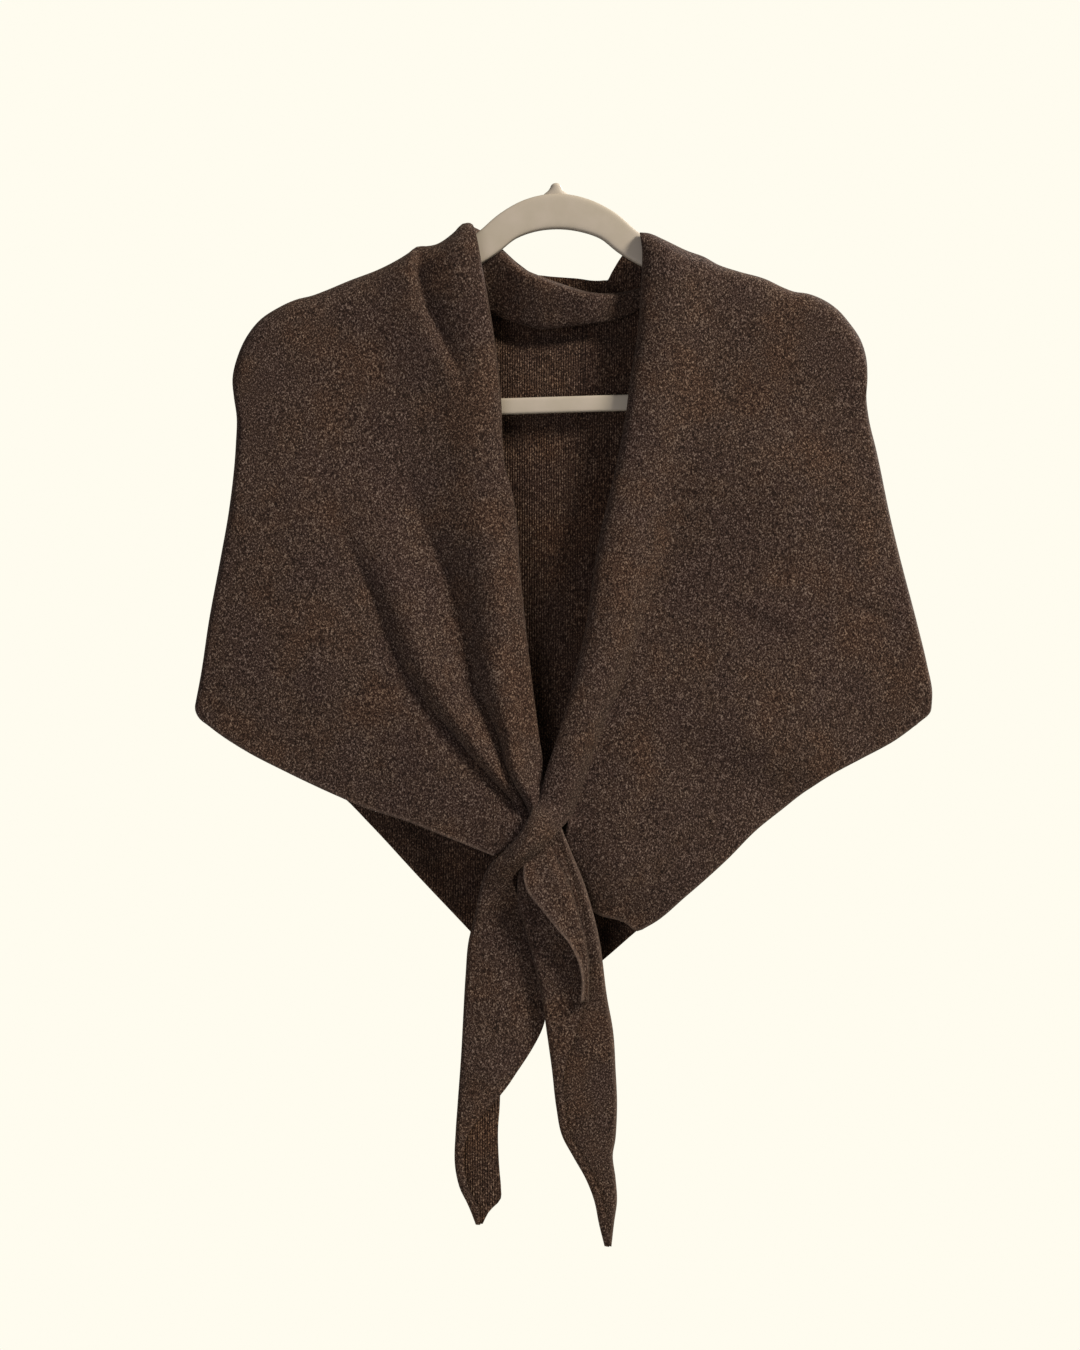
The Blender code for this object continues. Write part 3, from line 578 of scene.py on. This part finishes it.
def front_depth(left, x, z, from_lapel, share):
    """Depth of a front well inside its edges."""
    knot_x, knot_z, knot_depth, knot_rise = LEFT_KNOT if left else RIGHT_KNOT
    knot_depth = knot_depth + knot_rise * ease(share / KNOT_RISE_FULL)
    below = ease((knot_z - z) / KNOT_REACH_EASE)
    reach = np.hypot(x - knot_x, (z - knot_z) * (1 + (KNOT_REACH_BELOW - 1) * below))
    near = bell(reach / KNOT_REACH)
    tuck = 0.0
    if not left:
        tuck = KNOT_TUCK * ease((TUCK_TOP - z) / TUCK_HEIGHT) * bell((x - TUCK_MIDDLE) / TUCK_WIDTH)
    base = column(SIDE_FOLD, share)
    lapel = LAPEL_SWELL * bell((from_lapel - LAPEL_SWELL_INSET) / LAPEL_SWELL_WIDTH) * (1 - near)
    folds = fold_depth(LEFT_FOLDS if left else RIGHT_FOLDS, x, z)
    return base + (knot_depth - base) * near - tuck + lapel + folds + unevenness(x, z)


def neck_parting(from_neck):
    """Depth of the side fold's edge: open round the hanger's arm at the neck and closed further out."""
    return NECK_PARTING * (1 - ease(from_neck / PARTING_WIDTH))


def front_columns(shape, share_down):
    """Shares across a front of its columns at one share down it: the turned edge, then equal steps."""
    span = lengths(shape["outer"])[-1] * (1 - share_down) + lengths(shape["gather"])[-1] * share_down
    turned = turned_edge(min(LAPEL_ROLL, LAPEL_ROLL_SHARE * span), TURN_STEPS) / span
    return np.concatenate([turned, np.linspace(turned[-1], 1, FRONT_COLUMNS)[1:]])


def front_grid(left):
    """Outer surface of a front, and how many columns are behind its lapel.

    Columns run from the cloth turned in behind the lapel to the hem, and rows from the shoulder to the knot.
    """
    shape = LEFT if left else RIGHT
    outer, gather = lengths(shape["outer"])[-1], lengths(shape["gather"])[-1]
    lapel, hem = lengths(shape["lapel"])[-1], lengths(shape["hem"])[-1]
    turned_in = np.linspace(LAPEL_RETURN, LAPEL_ROLL, RETURN_STEPS)
    under = turned_edge(LAPEL_ROLL, TURN_STEPS)[::-1]
    back_inset = np.concatenate([turned_in, under[1:-1]])
    back_turn = np.concatenate([np.full(RETURN_STEPS, -np.pi / 2), -np.arccos(1 - under[1:-1] / LAPEL_ROLL)])
    behind = len(back_inset)
    base_u = front_columns(shape, 0.0)
    total = behind + len(base_u)
    v = np.zeros((TURN_STEPS + FRONT_ROWS, total))
    from_fold = np.zeros_like(v)
    for i in range(total):
        share = 0.0 if i < behind else base_u[i - behind]
        span = lapel * (1 - share) + hem * share
        start = RETURN_START * math.sin(-back_turn[i]) if i < behind else 0.0
        turned = start + turned_edge(column(SIDE_FOLD, share), TURN_STEPS)
        v[: TURN_STEPS + 1, i] = turned / span
        v[TURN_STEPS:, i] = np.linspace(turned[-1] / span, 1, FRONT_ROWS)
        from_fold[:, i] = v[:, i] * span
    u = np.zeros_like(v)
    drop = np.zeros_like(v)
    edge_turn = np.linspace(0, np.pi / 2, TURN_STEPS + 1)
    for j in range(len(v)):
        share = v[j, behind]
        span = outer * (1 - share) + gather * share
        shrink = min(1.0, LAPEL_ROLL_SHARE * span / LAPEL_ROLL)
        u[j, behind:] = front_columns(shape, share)
        u[j, :behind] = back_inset * shrink / span
        drop[j, :behind] = LAPEL_ROLL * (1 - np.sin(back_turn))
        drop[j, behind : behind + TURN_STEPS + 1] = LAPEL_ROLL * (1 - np.sin(edge_turn))
    plane = patch((shape["outer"], shape["gather"], shape["lapel"], shape["hem"]), u, v)
    x, z = plane[..., 0], plane[..., 1]
    from_lapel = u * (outer * (1 - v) + gather * v)
    full = front_depth(left, x, z, from_lapel, u)
    edge = neck_parting(from_lapel)
    drop *= ease(from_fold / LAPEL_START) * (1 - LAPEL_FLAT * ease((v - LAPEL_FLAT_FROM) / LAPEL_FLAT_LENGTH))
    depth = edge + (full - edge) * quarter(from_fold, column(SIDE_FOLD, u)) - drop
    return np.stack([x, -depth, z], axis=-1), behind


def back_folds(x, z):
    """How far the back's hanging folds stand out at points x, z."""
    down = np.clip((BACK_FOLDS_TOP - z) / BACK_FOLDS_LENGTH, 0, 1)
    total = BACK_HANG * ease(down / BACK_HANG_FULL)
    for x_top, x_hem, height, width, start in BACK_FOLDS:
        ridge = x_top + (x_hem - x_top) * down
        total = total + height * ease((start - z) / BACK_FOLDS_RISE) * bell((x - ridge) / width)
    return total


def neck_hollow(x, z):
    """How far the back stands off behind the collar, down to a soft edge where it lies flat again."""
    low = ease((z - HOLLOW_LOW) / HOLLOW_EDGE)
    top = ease((HOLLOW_TOP - z) / HOLLOW_FADE)
    return HOLLOW_DEPTH * low * top * ease((HOLLOW_WIDTH - np.abs(x - HOLLOW_MIDDLE)) / HOLLOW_FADE)


def back_grid():
    """Outer surface of the back: columns from left to right, and rows from the neck to the point."""
    fold, hem = lengths(LEFT["outer"])[-1], lengths(BACK_HEM_LEFT)[-1]
    meet = fold / (fold + hem)
    left = (LEFT["outer"], BACK_HEM_LEFT, meet)
    right = (RIGHT["outer"], BACK_HEM_RIGHT, meet)
    shares = np.concatenate([front_columns(LEFT, 0.0) * meet, np.linspace(meet, 1, HEM_ROWS)[1:]])
    right_shares = np.concatenate([front_columns(RIGHT, 0.0) * meet, np.linspace(meet, 1, HEM_ROWS)[1:]])
    across = BACK_COLUMNS + 2 * TURN_STEPS
    u = np.zeros((len(shares), across))
    from_side = np.zeros_like(u)
    for j, share in enumerate(shares):
        span = np.linalg.norm(curve(right, share) - curve(left, share))
        past = ease((share / meet - 1.0) / HEM_OPENING)
        turned = turned_edge(column(SIDE_FOLD, min(share / meet, 1.0)), TURN_STEPS)
        turned = turned + past * np.linspace(0, HEM_STEPS_WIDTH, TURN_STEPS + 1)
        turned = np.minimum(turned, np.linspace(0, HEM_STEPS_SHARE, TURN_STEPS + 1) * span)
        u[j, : TURN_STEPS + 1] = turned / span
        u[j, -TURN_STEPS - 1 :] = 1 - turned[::-1] / span
        u[j, TURN_STEPS : -TURN_STEPS] = np.linspace(u[j, TURN_STEPS], u[j, -TURN_STEPS - 1], BACK_COLUMNS)
        from_side[j] = np.minimum(u[j], 1 - u[j]) * span
    v = shares[:, None] * (1 - u) + right_shares[:, None] * u
    plane = patch((BACK_NECK, BACK_POINT, left, right), u, v)
    x, z = plane[..., 0], plane[..., 1]
    side_share = v / meet
    radius = column(SIDE_FOLD, np.minimum(side_share, 1.0))
    room = COLLAR_ROOM * ease((z - COLLAR_ROOM_LOW) / COLLAR_ROOM_HEIGHT) * ease(from_side / COLLAR_ROOM_SIDE)
    full = radius + (back_folds(x, z) + unevenness(x, z)) * ease(from_side / SIDE_CALM) + room
    edge = neck_parting(side_share * fold)
    edge = edge + (full - edge) * ease((side_share - 1.0) / HEM_OPENING)
    depth = edge + (full - edge) * quarter(from_side, radius) + neck_hollow(x, z)
    return np.stack([x, depth, z], axis=-1)


def roll_grid(columns, rows):
    """Middle surface of the collar: columns along the neck, rows round its section."""
    table = np.asarray(NECK_ROLL, float)
    section = hermite(np.linspace(0, 1, len(NECK_SECTION)), NECK_SECTION, np.linspace(0, 1, rows))
    along = hermite(table[:, 0], table, np.linspace(table[0, 0], table[-1, 0], columns))
    x, top, low, front, thick = [along[None, :, k] for k in range(5)]
    depth = front + (section[:, None, 0] - NECK_SECTION_FACE) * thick
    z = top + (low - top) * section[:, None, 1] + section[:, None, 2]
    return np.stack(np.broadcast_arrays(x, -depth, z), axis=-1)


def strip_grid(table, rows, front_half):
    """A strip folded lengthwise: columns from its front half's edge round the fold to its back half's edge.

    front_half is the number of columns of the front half.
    """
    t = curve(table, np.linspace(0, 1, rows))
    fold_x, fold_z, far_x, far_z, front, back, depth, lean, crown = [t[:, None, k] for k in range(9)]
    width = np.hypot(far_x - fold_x, far_z - fold_z)
    radius = np.minimum(TAIL_FOLD, TAIL_FOLD_SHARE * width)
    turn = np.linspace(np.pi / 2, 3 * np.pi / 2, TAIL_FOLD_STEPS)[None, :]
    arc = radius * (1 + np.cos(turn))
    front_out = np.maximum(front * width - radius, TAIL_LEAST)
    back_out = np.maximum(back * width - radius, TAIL_LEAST)
    outward = np.linspace(1, 0, front_half)[None, :]
    front_part = radius + front_out * outward
    back_part = radius + back_out * np.linspace(0, 1, TAIL_BACK_COLUMNS)[None, 1:]
    inset = np.concatenate([front_part, arc[:, 1:], back_part], axis=1)
    bulge = crown * np.sin(np.pi * (CROWN_START + (1 - CROWN_START) * outward))
    front_off = radius + bulge * np.ones_like(front_part)
    start = front_off[:, -1:] / radius
    arc_off = radius * np.sin(turn[:, 1:]) * (1 + (start - 1) * (1 + np.sin(turn[:, 1:])) / 2)
    off = np.concatenate([front_off, arc_off, -radius * np.ones_like(back_part)], axis=1)
    share = inset / width
    x = fold_x + (far_x - fold_x) * share
    z = fold_z + (far_z - fold_z) * share
    return np.stack([x, -(depth + off - lean * share), z], axis=-1)


def lobe_grid(columns, rows):
    """Turned-over edge of the right tail: columns from its free edge to its fold and round it, rows down."""
    u, v = np.meshgrid(np.linspace(0, 1, columns), np.linspace(0, 1, rows))
    plane = patch((LOBE["top"], LOBE["tip"], LOBE["free"], LOBE["fold"]), u, v)
    folded = np.clip((u - 1 + LOBE_FOLD_SHARE) / LOBE_FOLD_SHARE, 0, 1)
    depth = column(LOBE_DEPTH, v) - LOBE_FOLD_TURN * (1 - np.sqrt(1 - folded**2))
    depth = depth + LOBE_EDGE_LIFT * (1 - ease(u / LOBE_EDGE_SHARE))
    return np.stack([plane[..., 0], -depth, plane[..., 1]], axis=-1)


def add_grid(work, points, hem=0.0):
    """Adds a grid of points to a bmesh as one sheet of faces, with a share of painted edge highlight at each
    point.
    """
    rows, columns = points.shape[:2]
    layer = work.verts.layers.float.get("hem") or work.verts.layers.float.new("hem")
    made = bmesh.ops.create_grid(work, x_segments=columns - 1, y_segments=rows - 1, size=1.0)
    shares = np.broadcast_to(hem, (rows, columns)).ravel()
    for vert, point, share in zip(made["verts"], points.reshape(-1, 3), shares):
        vert.co = point * MM
        vert[layer] = share


def add_piece(name, work, *materials):
    """Turns a finished bmesh into a smooth-shaded piece that rides on the part's one body."""
    bmesh.ops.recalc_face_normals(work, faces=work.faces)
    for face in work.faces:
        face.smooth = True
    mesh = bpy.data.meshes.new(name)
    work.to_mesh(mesh)
    work.free()
    piece = bpy.data.objects.new(name, mesh)
    for material in materials:
        mesh.materials.append(material)
    bpy.context.scene.collection.objects.link(piece)
    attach(piece, "root")
    return piece


def add_cloth(name, work, *materials):
    """Turns sheets of faces into a piece of cloth with a wall; a second material is its inner side."""
    bmesh.ops.remove_doubles(work, verts=work.verts, dist=CLOTH_MERGE * MM)
    piece = add_piece(name, work, *materials)
    thick = piece.modifiers.new("Wall", "SOLIDIFY")
    thick.thickness = WALL * MM
    thick.offset = 0.0
    thick.use_even_offset = False
    thick.material_offset = len(materials) - 1
    return piece


def edge_highlight_share(from_edge):
    """How much painted highlight a point gets near a free edge, from its distance to that edge."""
    return 1 - ease(from_edge / EDGE_HIGHLIGHT_WIDTH)


def edge_highlight_mask(points, first=False):
    """Share of painted edge highlight at each point of a grid, along its last column or its first one."""
    ordered = points[:, ::-1] if first else points
    step = np.linalg.norm(np.diff(ordered, axis=1), axis=2)
    from_last = np.zeros(points.shape[:2])
    from_last[:, :-1] = np.cumsum(step[:, ::-1], axis=1)[:, ::-1]
    share = edge_highlight_share(from_last)
    return share[:, ::-1] if first else share


def join_strip(strip, front, behind):
    """Lets the strip grow out of the right front's end, so that the two are one cloth."""
    last = front[-1, behind:]
    count = int(round(BAND_SHARE * (len(last) - 1))) + 1
    source = last[:count][::-1]
    blend = 1 - ease(np.linspace(0, 1, len(strip)) / JOIN_SHARE)
    shift = source - strip[0, :count]
    strip[:, :count] += blend[:, None, None] * shift[None]
    fade = np.linspace(1, 0, strip.shape[1] - count + 1)[1:]
    strip[:, count:] += blend[:, None, None] * shift[-1][None, None] * fade[None, :, None]
    return strip


def make_shawl():
    """The shawl: its back, its fronts, and the end that crosses the knot and hangs as the left tail."""
    work = bmesh.new()
    left, _ = front_grid(True)
    right, behind = front_grid(False)
    count = int(round(BAND_SHARE * (right.shape[1] - behind - 1))) + 1
    strip = join_strip(strip_grid(LEFT_TAIL, LEFT_TAIL_ROWS, count), right, behind)
    # Each sheet gets a painted highlight along its free edges.
    for points in (left, right, back_grid(), strip):
        add_grid(work, points, edge_highlight_mask(points))
    shawl = add_cloth("shawl", work, heather_wool(), ribbed_inside())
    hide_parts("back_panel", "left_front", "right_front", "knot_band", "left_tail")
    return shawl


def make_right_tail():
    """The right tail, which comes out from under the knot, and its turned-over edge."""
    work = bmesh.new()
    tail = strip_grid(RIGHT_TAIL, RIGHT_TAIL_ROWS, TAIL_FRONT_COLUMNS)
    lobe = lobe_grid(*LOBE_STEPS)
    add_grid(work, tail, edge_highlight_mask(tail))
    add_grid(work, lobe, edge_highlight_mask(lobe, first=True))
    tail = add_cloth("right_tail_cloth", work, heather_wool())
    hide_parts("right_tail", "tail_lobe")
    return tail


def make_collar():
    """The long edge, turned in at the back of the neck."""
    work = bmesh.new()
    add_grid(work, roll_grid(*COLLAR_STEPS))
    collar = add_cloth("collar", work, heather_wool())
    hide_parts("neck_roll")
    return collar


def hanger_frame(columns, rows):
    """Skin of the hanger's frame: columns once round the frame, rows once round its rounded section."""
    loop = np.array([HANGER_TOP] + HANGER_LEFT + HANGER_RIGHT[::-1] + [HANGER_TOP], float)
    at = lengths(loop)
    padded = np.concatenate([loop[-3:-1], loop, loop[1:3]])
    around = np.concatenate([at[-3:-1] - at[-1], at, at[1:3] + at[-1]])
    along = hermite(around, padded, np.linspace(0, at[-1], columns + 1))
    closed = np.concatenate([along[-2:-1], along, along[1:2]])
    heading = closed[2:, :2] - closed[:-2, :2]
    heading /= np.linalg.norm(heading, axis=1)[:, None]
    outward = np.stack([-heading[:, 1], heading[:, 0]], axis=1)
    turn = np.linspace(0, 2 * np.pi, rows + 1)
    across = np.sign(np.cos(turn)) * np.abs(np.cos(turn)) ** SECTION_SQUARENESS / 2
    through = np.sign(np.sin(turn)) * np.abs(np.sin(turn)) ** SECTION_SQUARENESS / 2
    x = along[None, :, 0] + outward[None, :, 0] * along[None, :, 2] * across[:, None]
    z = along[None, :, 1] + outward[None, :, 1] * along[None, :, 2] * across[:, None]
    y = along[None, :, 3] * through[:, None]
    return np.stack([x, y, z], axis=-1)


def boss_skin(columns, rows):
    """Skin of the hook boss: columns from its foot to its top, closer together there, and rows once round."""
    table = np.asarray(BOSS, float)
    height = table[0, 0] + (table[-1, 0] - table[0, 0]) * np.sin(np.linspace(0, np.pi / 2, columns))
    half = hermite(table[:, 0], table[:, 1], height)
    turn = np.linspace(0, 2 * np.pi, rows + 1)
    x = half[None, :] * np.cos(turn)[:, None]
    y = np.minimum(half, BOSS_DEPTH / 2)[None, :] * np.sin(turn)[:, None]
    return np.stack([x, y, np.broadcast_to(height, x.shape)], axis=-1)


def make_hanger():
    """The flat moulded hanger: its frame, and the small boss that its hook would screw into."""
    work = bmesh.new()
    add_grid(work, hanger_frame(*HANGER_STEPS))
    add_grid(work, boss_skin(*BOSS_STEPS))
    bmesh.ops.remove_doubles(work, verts=work.verts, dist=HANGER_MERGE * MM)
    bmesh.ops.holes_fill(work, edges=work.edges, sides=0)
    hanger = add_piece("coat_hanger", work, taupe_plastic())
    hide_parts("hanger")
    return hanger


def linear(hex_colour):
    """A linear colour from an sRGB hex one."""
    parts = [int(hex_colour[i : i + 2], 16) / 255 for i in (1, 3, 5)]
    return [c / 12.92 if c <= 0.04045 else ((c + 0.055) / 1.055) ** 2.4 for c in parts] + [1.0]


def new_material(name):
    """An empty node material and its Principled shader."""
    material = bpy.data.materials.new(name)
    material.use_nodes = True
    return material, material.node_tree.nodes["Principled BSDF"]


def add_node(material, kind, inputs, stops=(), **settings):
    """Adds a shader node with its settings and, for a colour ramp, its stops.

    inputs gives values, or sockets of other nodes, by the name or the number of this node's own sockets.
    """
    node = material.node_tree.nodes.new(kind)
    for name, value in settings.items():
        setattr(node, name, value)
    for key, value in inputs.items():
        if isinstance(value, bpy.types.NodeSocket):
            material.node_tree.links.new(value, node.inputs[key])
        else:
            node.inputs[key].default_value = value
    for index, (where, colour) in enumerate(stops):
        if index == len(node.color_ramp.elements):
            node.color_ramp.elements.new(where)
        node.color_ramp.elements[index].position = where
        node.color_ramp.elements[index].color = linear(colour)
    return node


def wool_colour(material, where):
    """Colour and height of heather wool: light and dark hairs, in warm and cool patches."""
    slant = add_node(
        material, "ShaderNodeMapping",
        {
            "Vector": where,
            "Rotation": (0.0, math.radians(HAIR_SLANT), 0.0),
            "Scale": (1.0, 1.0, HAIR_STRETCH),
        },
    )
    hairs = add_node(
        material, "ShaderNodeTexNoise",
        {"Vector": slant.outputs["Vector"], "Scale": 1 / (FLECK_SIZE * MM), "Detail": 3.0, "Roughness": 0.75},
    )
    clumps = add_node(
        material, "ShaderNodeTexNoise",
        {"Vector": where, "Scale": 1 / (CLUMP_SIZE * MM), "Detail": 2.0, "Roughness": 0.6},
    )
    patches = add_node(
        material, "ShaderNodeTexNoise",
        {"Vector": where, "Scale": 1 / (PATCH_SIZE * MM), "Detail": 4.0, "Roughness": 0.65},
    )
    flecks = add_node(material, "ShaderNodeValToRGB", {"Fac": hairs.outputs["Fac"]}, FLECK_COLOURS)
    tint = add_node(material, "ShaderNodeValToRGB", {"Fac": patches.outputs["Fac"]}, PATCH_COLOURS)
    mixed = add_node(
        material, "ShaderNodeMix",
        {"Factor": PATCH_STRENGTH, MIX_FIRST: flecks.outputs["Color"], MIX_SECOND: tint.outputs["Color"]},
        data_type="RGBA", blend_type="OVERLAY",
    )
    nap = add_node(
        material, "ShaderNodeMath", {0: hairs.outputs["Fac"], 1: clumps.outputs["Fac"]}, operation="ADD",
    )
    return mixed.outputs[MIX_RESULT], nap.outputs["Value"]


def finish_wool(material, shader, colour, height):
    """Matt felted wool: rough, hardly shiny, with a soft nap that catches light at the edges."""
    material.node_tree.links.new(colour, shader.inputs["Base Color"])
    bump = add_node(
        material, "ShaderNodeBump", {"Height": height, "Strength": 0.6, "Distance": NAP_HEIGHT * MM},
    )
    material.node_tree.links.new(bump.outputs["Normal"], shader.inputs["Normal"])
    shader.inputs["Roughness"].default_value = 0.95
    shader.inputs["Specular IOR Level"].default_value = 0.12
    shader.inputs["Sheen Weight"].default_value = 0.12
    shader.inputs["Sheen Roughness"].default_value = 0.55
    shader.inputs["Sheen Tint"].default_value = linear("#A89684")


def heather_wool():
    """Outer face of felted heather wool: brown flecked with lighter hairs, and a painted highlight along the
    free edges.
    """
    material, shader = new_material("heather_wool")
    where = add_node(material, "ShaderNodeTexCoord", {}).outputs["Object"]
    colour, height = wool_colour(material, where)
    # The hem attribute gives where a painted highlight lightens the free edges.
    hem = add_node(material, "ShaderNodeAttribute", {}, attribute_name="hem").outputs["Fac"]
    highlight_amount = add_node(material, "ShaderNodeMath", {0: hem, 1: EDGE_HIGHLIGHT_STRENGTH}, operation="MULTIPLY")
    edge_highlighted = add_node(
        material, "ShaderNodeMix",
        {"Factor": highlight_amount.outputs["Value"], MIX_FIRST: colour, MIX_SECOND: linear(EDGE_HIGHLIGHT_COLOUR)},
        data_type="RGBA",
    )
    finish_wool(material, shader, edge_highlighted.outputs[MIX_RESULT], height)
    return material


def centre_line(material, where):
    """How strong the double line down the middle of the back is: 0 beside it and below its end."""
    angle = math.atan(LINE_SLOPE)
    upright = add_node(
        material, "ShaderNodeMapping",
        {
            "Vector": where,
            "Location": (-LINE_X * math.cos(angle) * MM, 0.0, 0.0),
            "Rotation": (0.0, -angle, 0.0),
        },
    )
    axes = add_node(material, "ShaderNodeSeparateXYZ", {"Vector": upright.outputs["Vector"]})
    reach = LINE_GAP + LINE_WIDTH
    across = add_node(
        material, "ShaderNodeMapRange",
        {"Value": axes.outputs["X"], "From Min": -reach * MM, "From Max": reach * MM},
    )
    gap, middle = (LINE_GAP - LINE_WIDTH) / reach / 2, LINE_GAP / reach / 2
    lines = add_node(
        material, "ShaderNodeValToRGB", {"Fac": across.outputs["Result"]},
        [
            (0.0, "#000000"), (0.5 - middle, "#FFFFFF"), (0.5 - gap, "#000000"),
            (0.5 + gap, "#000000"), (0.5 + middle, "#FFFFFF"), (1.0, "#000000"),
        ],
    )
    strength = add_node(
        material, "ShaderNodeMapRange",
        {
            "Value": axes.outputs["Z"],
            "From Min": LINE_LOW * MM,
            "From Max": 0.0,
            "To Max": -LINE_LOW / LINE_FADE,
        },
    )
    faded = add_node(
        material, "ShaderNodeMath", {0: lines.outputs["Color"], 1: strength.outputs["Result"]},
        operation="MULTIPLY",
    )
    limited = add_node(
        material, "ShaderNodeMath", {0: faded.outputs["Value"], 1: LINE_STRENGTH}, operation="MINIMUM",
    )
    return limited.outputs["Value"]


def ribbed_inside():
    """Inner face of the same wool: a plain knit whose fine ribs run down it, with shade painted on their
    sides.
    """
    material, shader = new_material("ribbed_inside")
    where = add_node(material, "ShaderNodeTexCoord", {}).outputs["Object"]
    colour, height = wool_colour(material, where)
    ribs = add_node(
        material, "ShaderNodeTexWave",
        {"Vector": where, "Scale": math.pi / 10 / (RIB_SPACING * MM), "Distortion": 0.6, "Detail": 1.0},
        wave_type="BANDS", bands_direction="X", wave_profile="SIN",
    )
    # Shade painted on the ribs' sides and light painted on their tops.
    shade = add_node(material, "ShaderNodeValToRGB", {"Fac": ribs.outputs["Fac"]}, RIB_SHADE_AND_LIGHT)
    ribbed = add_node(
        material, "ShaderNodeMix", {"Factor": 1.0, MIX_FIRST: colour, MIX_SECOND: shade.outputs["Color"]},
        data_type="RGBA", blend_type="OVERLAY",
    )
    lined = add_node(
        material, "ShaderNodeMix",
        {
            "Factor": centre_line(material, where),
            MIX_FIRST: ribbed.outputs[MIX_RESULT],
            MIX_SECOND: linear(LINE_COLOUR),
        },
        data_type="RGBA",
    )
    relief = add_node(material, "ShaderNodeMath", {0: height, 1: ribs.outputs["Fac"]}, operation="ADD")
    finish_wool(material, shader, lined.outputs[MIX_RESULT], relief.outputs["Value"])
    return material


def taupe_plastic():
    """Satin taupe moulded plastic, with the faint unevenness of a moulded face."""
    material, shader = new_material("taupe_plastic")
    where = add_node(material, "ShaderNodeTexCoord", {}).outputs["Object"]
    clouds = add_node(
        material, "ShaderNodeTexNoise", {"Vector": where, "Scale": 1 / (CLOUD_SIZE * MM), "Detail": 2.0},
    ).outputs["Fac"]
    colour = add_node(material, "ShaderNodeValToRGB", {"Fac": clouds}, PLASTIC_COLOURS)
    material.node_tree.links.new(colour.outputs["Color"], shader.inputs["Base Color"])
    bump = add_node(
        material, "ShaderNodeBump", {"Height": clouds, "Strength": 0.1, "Distance": CLOUD_HEIGHT * MM},
    )
    material.node_tree.links.new(bump.outputs["Normal"], shader.inputs["Normal"])
    shader.inputs["Roughness"].default_value = 0.5
    shader.inputs["Specular IOR Level"].default_value = 0.35
    return material


def place(column_pixel, row_pixel):
    """Point in the hanger's middle plane seen at a pixel of the photo, in metres."""
    across = column_pixel - ORIGIN_PIXEL[0]
    up = ORIGIN_PIXEL[1] - row_pixel
    return Vector((across, 0.0, up)) * PIXEL * MM


def add_camera():
    """A level camera straight in front, framed as the photo."""
    data = bpy.data.cameras.new("camera")
    data.sensor_fit = "VERTICAL"
    data.sensor_height = SENSOR_HEIGHT
    data.lens = SENSOR_HEIGHT * CAMERA_DISTANCE / (PHOTO_SIZE[1] * PIXEL)
    camera = bpy.data.objects.new("camera", data)
    centre = place(PHOTO_SIZE[0] / 2, PHOTO_SIZE[1] / 2)
    camera.location = centre + Vector((0, -CAMERA_DISTANCE * MM, 0))
    camera.rotation_euler = (math.pi / 2, 0, 0)
    bpy.context.scene.collection.objects.link(camera)
    bpy.context.scene.camera = camera


def add_light(name, direction, distance, size, power, colour):
    """A soft square light that looks at the middle of the shawl."""
    data = bpy.data.lights.new(name, "AREA")
    data.size = size * MM
    data.energy = power
    data.color = linear(colour)[:3]
    lamp = bpy.data.objects.new(name, data)
    towards = Vector(direction).normalized()
    lamp.location = place(*LIT_PIXEL) + towards * distance * MM
    lamp.rotation_euler = towards.to_track_quat("Z", "Y").to_euler()
    bpy.context.scene.collection.objects.link(lamp)


def add_floor():
    """A plain pale round floor below the tails, out of the photo's frame."""
    work = bmesh.new()
    bmesh.ops.create_circle(work, cap_ends=True, segments=FLOOR_EDGES, radius=FLOOR_RADIUS * MM)
    mesh = bpy.data.meshes.new("floor")
    work.to_mesh(mesh)
    work.free()
    floor = bpy.data.objects.new("floor", mesh)
    floor.location = (0.0, 0.0, FLOOR_HEIGHT * MM)
    material, shader = new_material("pale_floor")
    shader.inputs["Base Color"].default_value = linear(FLOOR_COLOUR)
    shader.inputs["Roughness"].default_value = 0.9
    mesh.materials.append(material)
    bpy.context.scene.collection.objects.link(floor)


def add_studio():
    """Cream surroundings, and soft lights from the upper right, the front and behind."""
    world = bpy.data.worlds.new("cream")
    world.use_nodes = True
    nodes, links = world.node_tree.nodes, world.node_tree.links
    seen = nodes["Background"]
    seen.inputs["Color"].default_value = linear(SEEN_COLOUR)
    cast = nodes.new("ShaderNodeBackground")
    cast.inputs["Color"].default_value = linear(CAST_COLOUR)
    cast.inputs["Strength"].default_value = CAST_STRENGTH
    mix = nodes.new("ShaderNodeMixShader")
    links.new(nodes.new("ShaderNodeLightPath").outputs["Is Camera Ray"], mix.inputs["Fac"])
    links.new(cast.outputs["Background"], mix.inputs[1])
    links.new(seen.outputs["Background"], mix.inputs[2])
    links.new(mix.outputs["Shader"], nodes["World Output"].inputs["Surface"])
    bpy.context.scene.world = world
    for light in LIGHTS:
        add_light(*light)
    bpy.context.scene.view_settings.view_transform = "Standard"


shawl = make_shawl()
right_tail = make_right_tail()
collar = make_collar()
make_hanger()
add_camera()
add_floor()
add_studio()
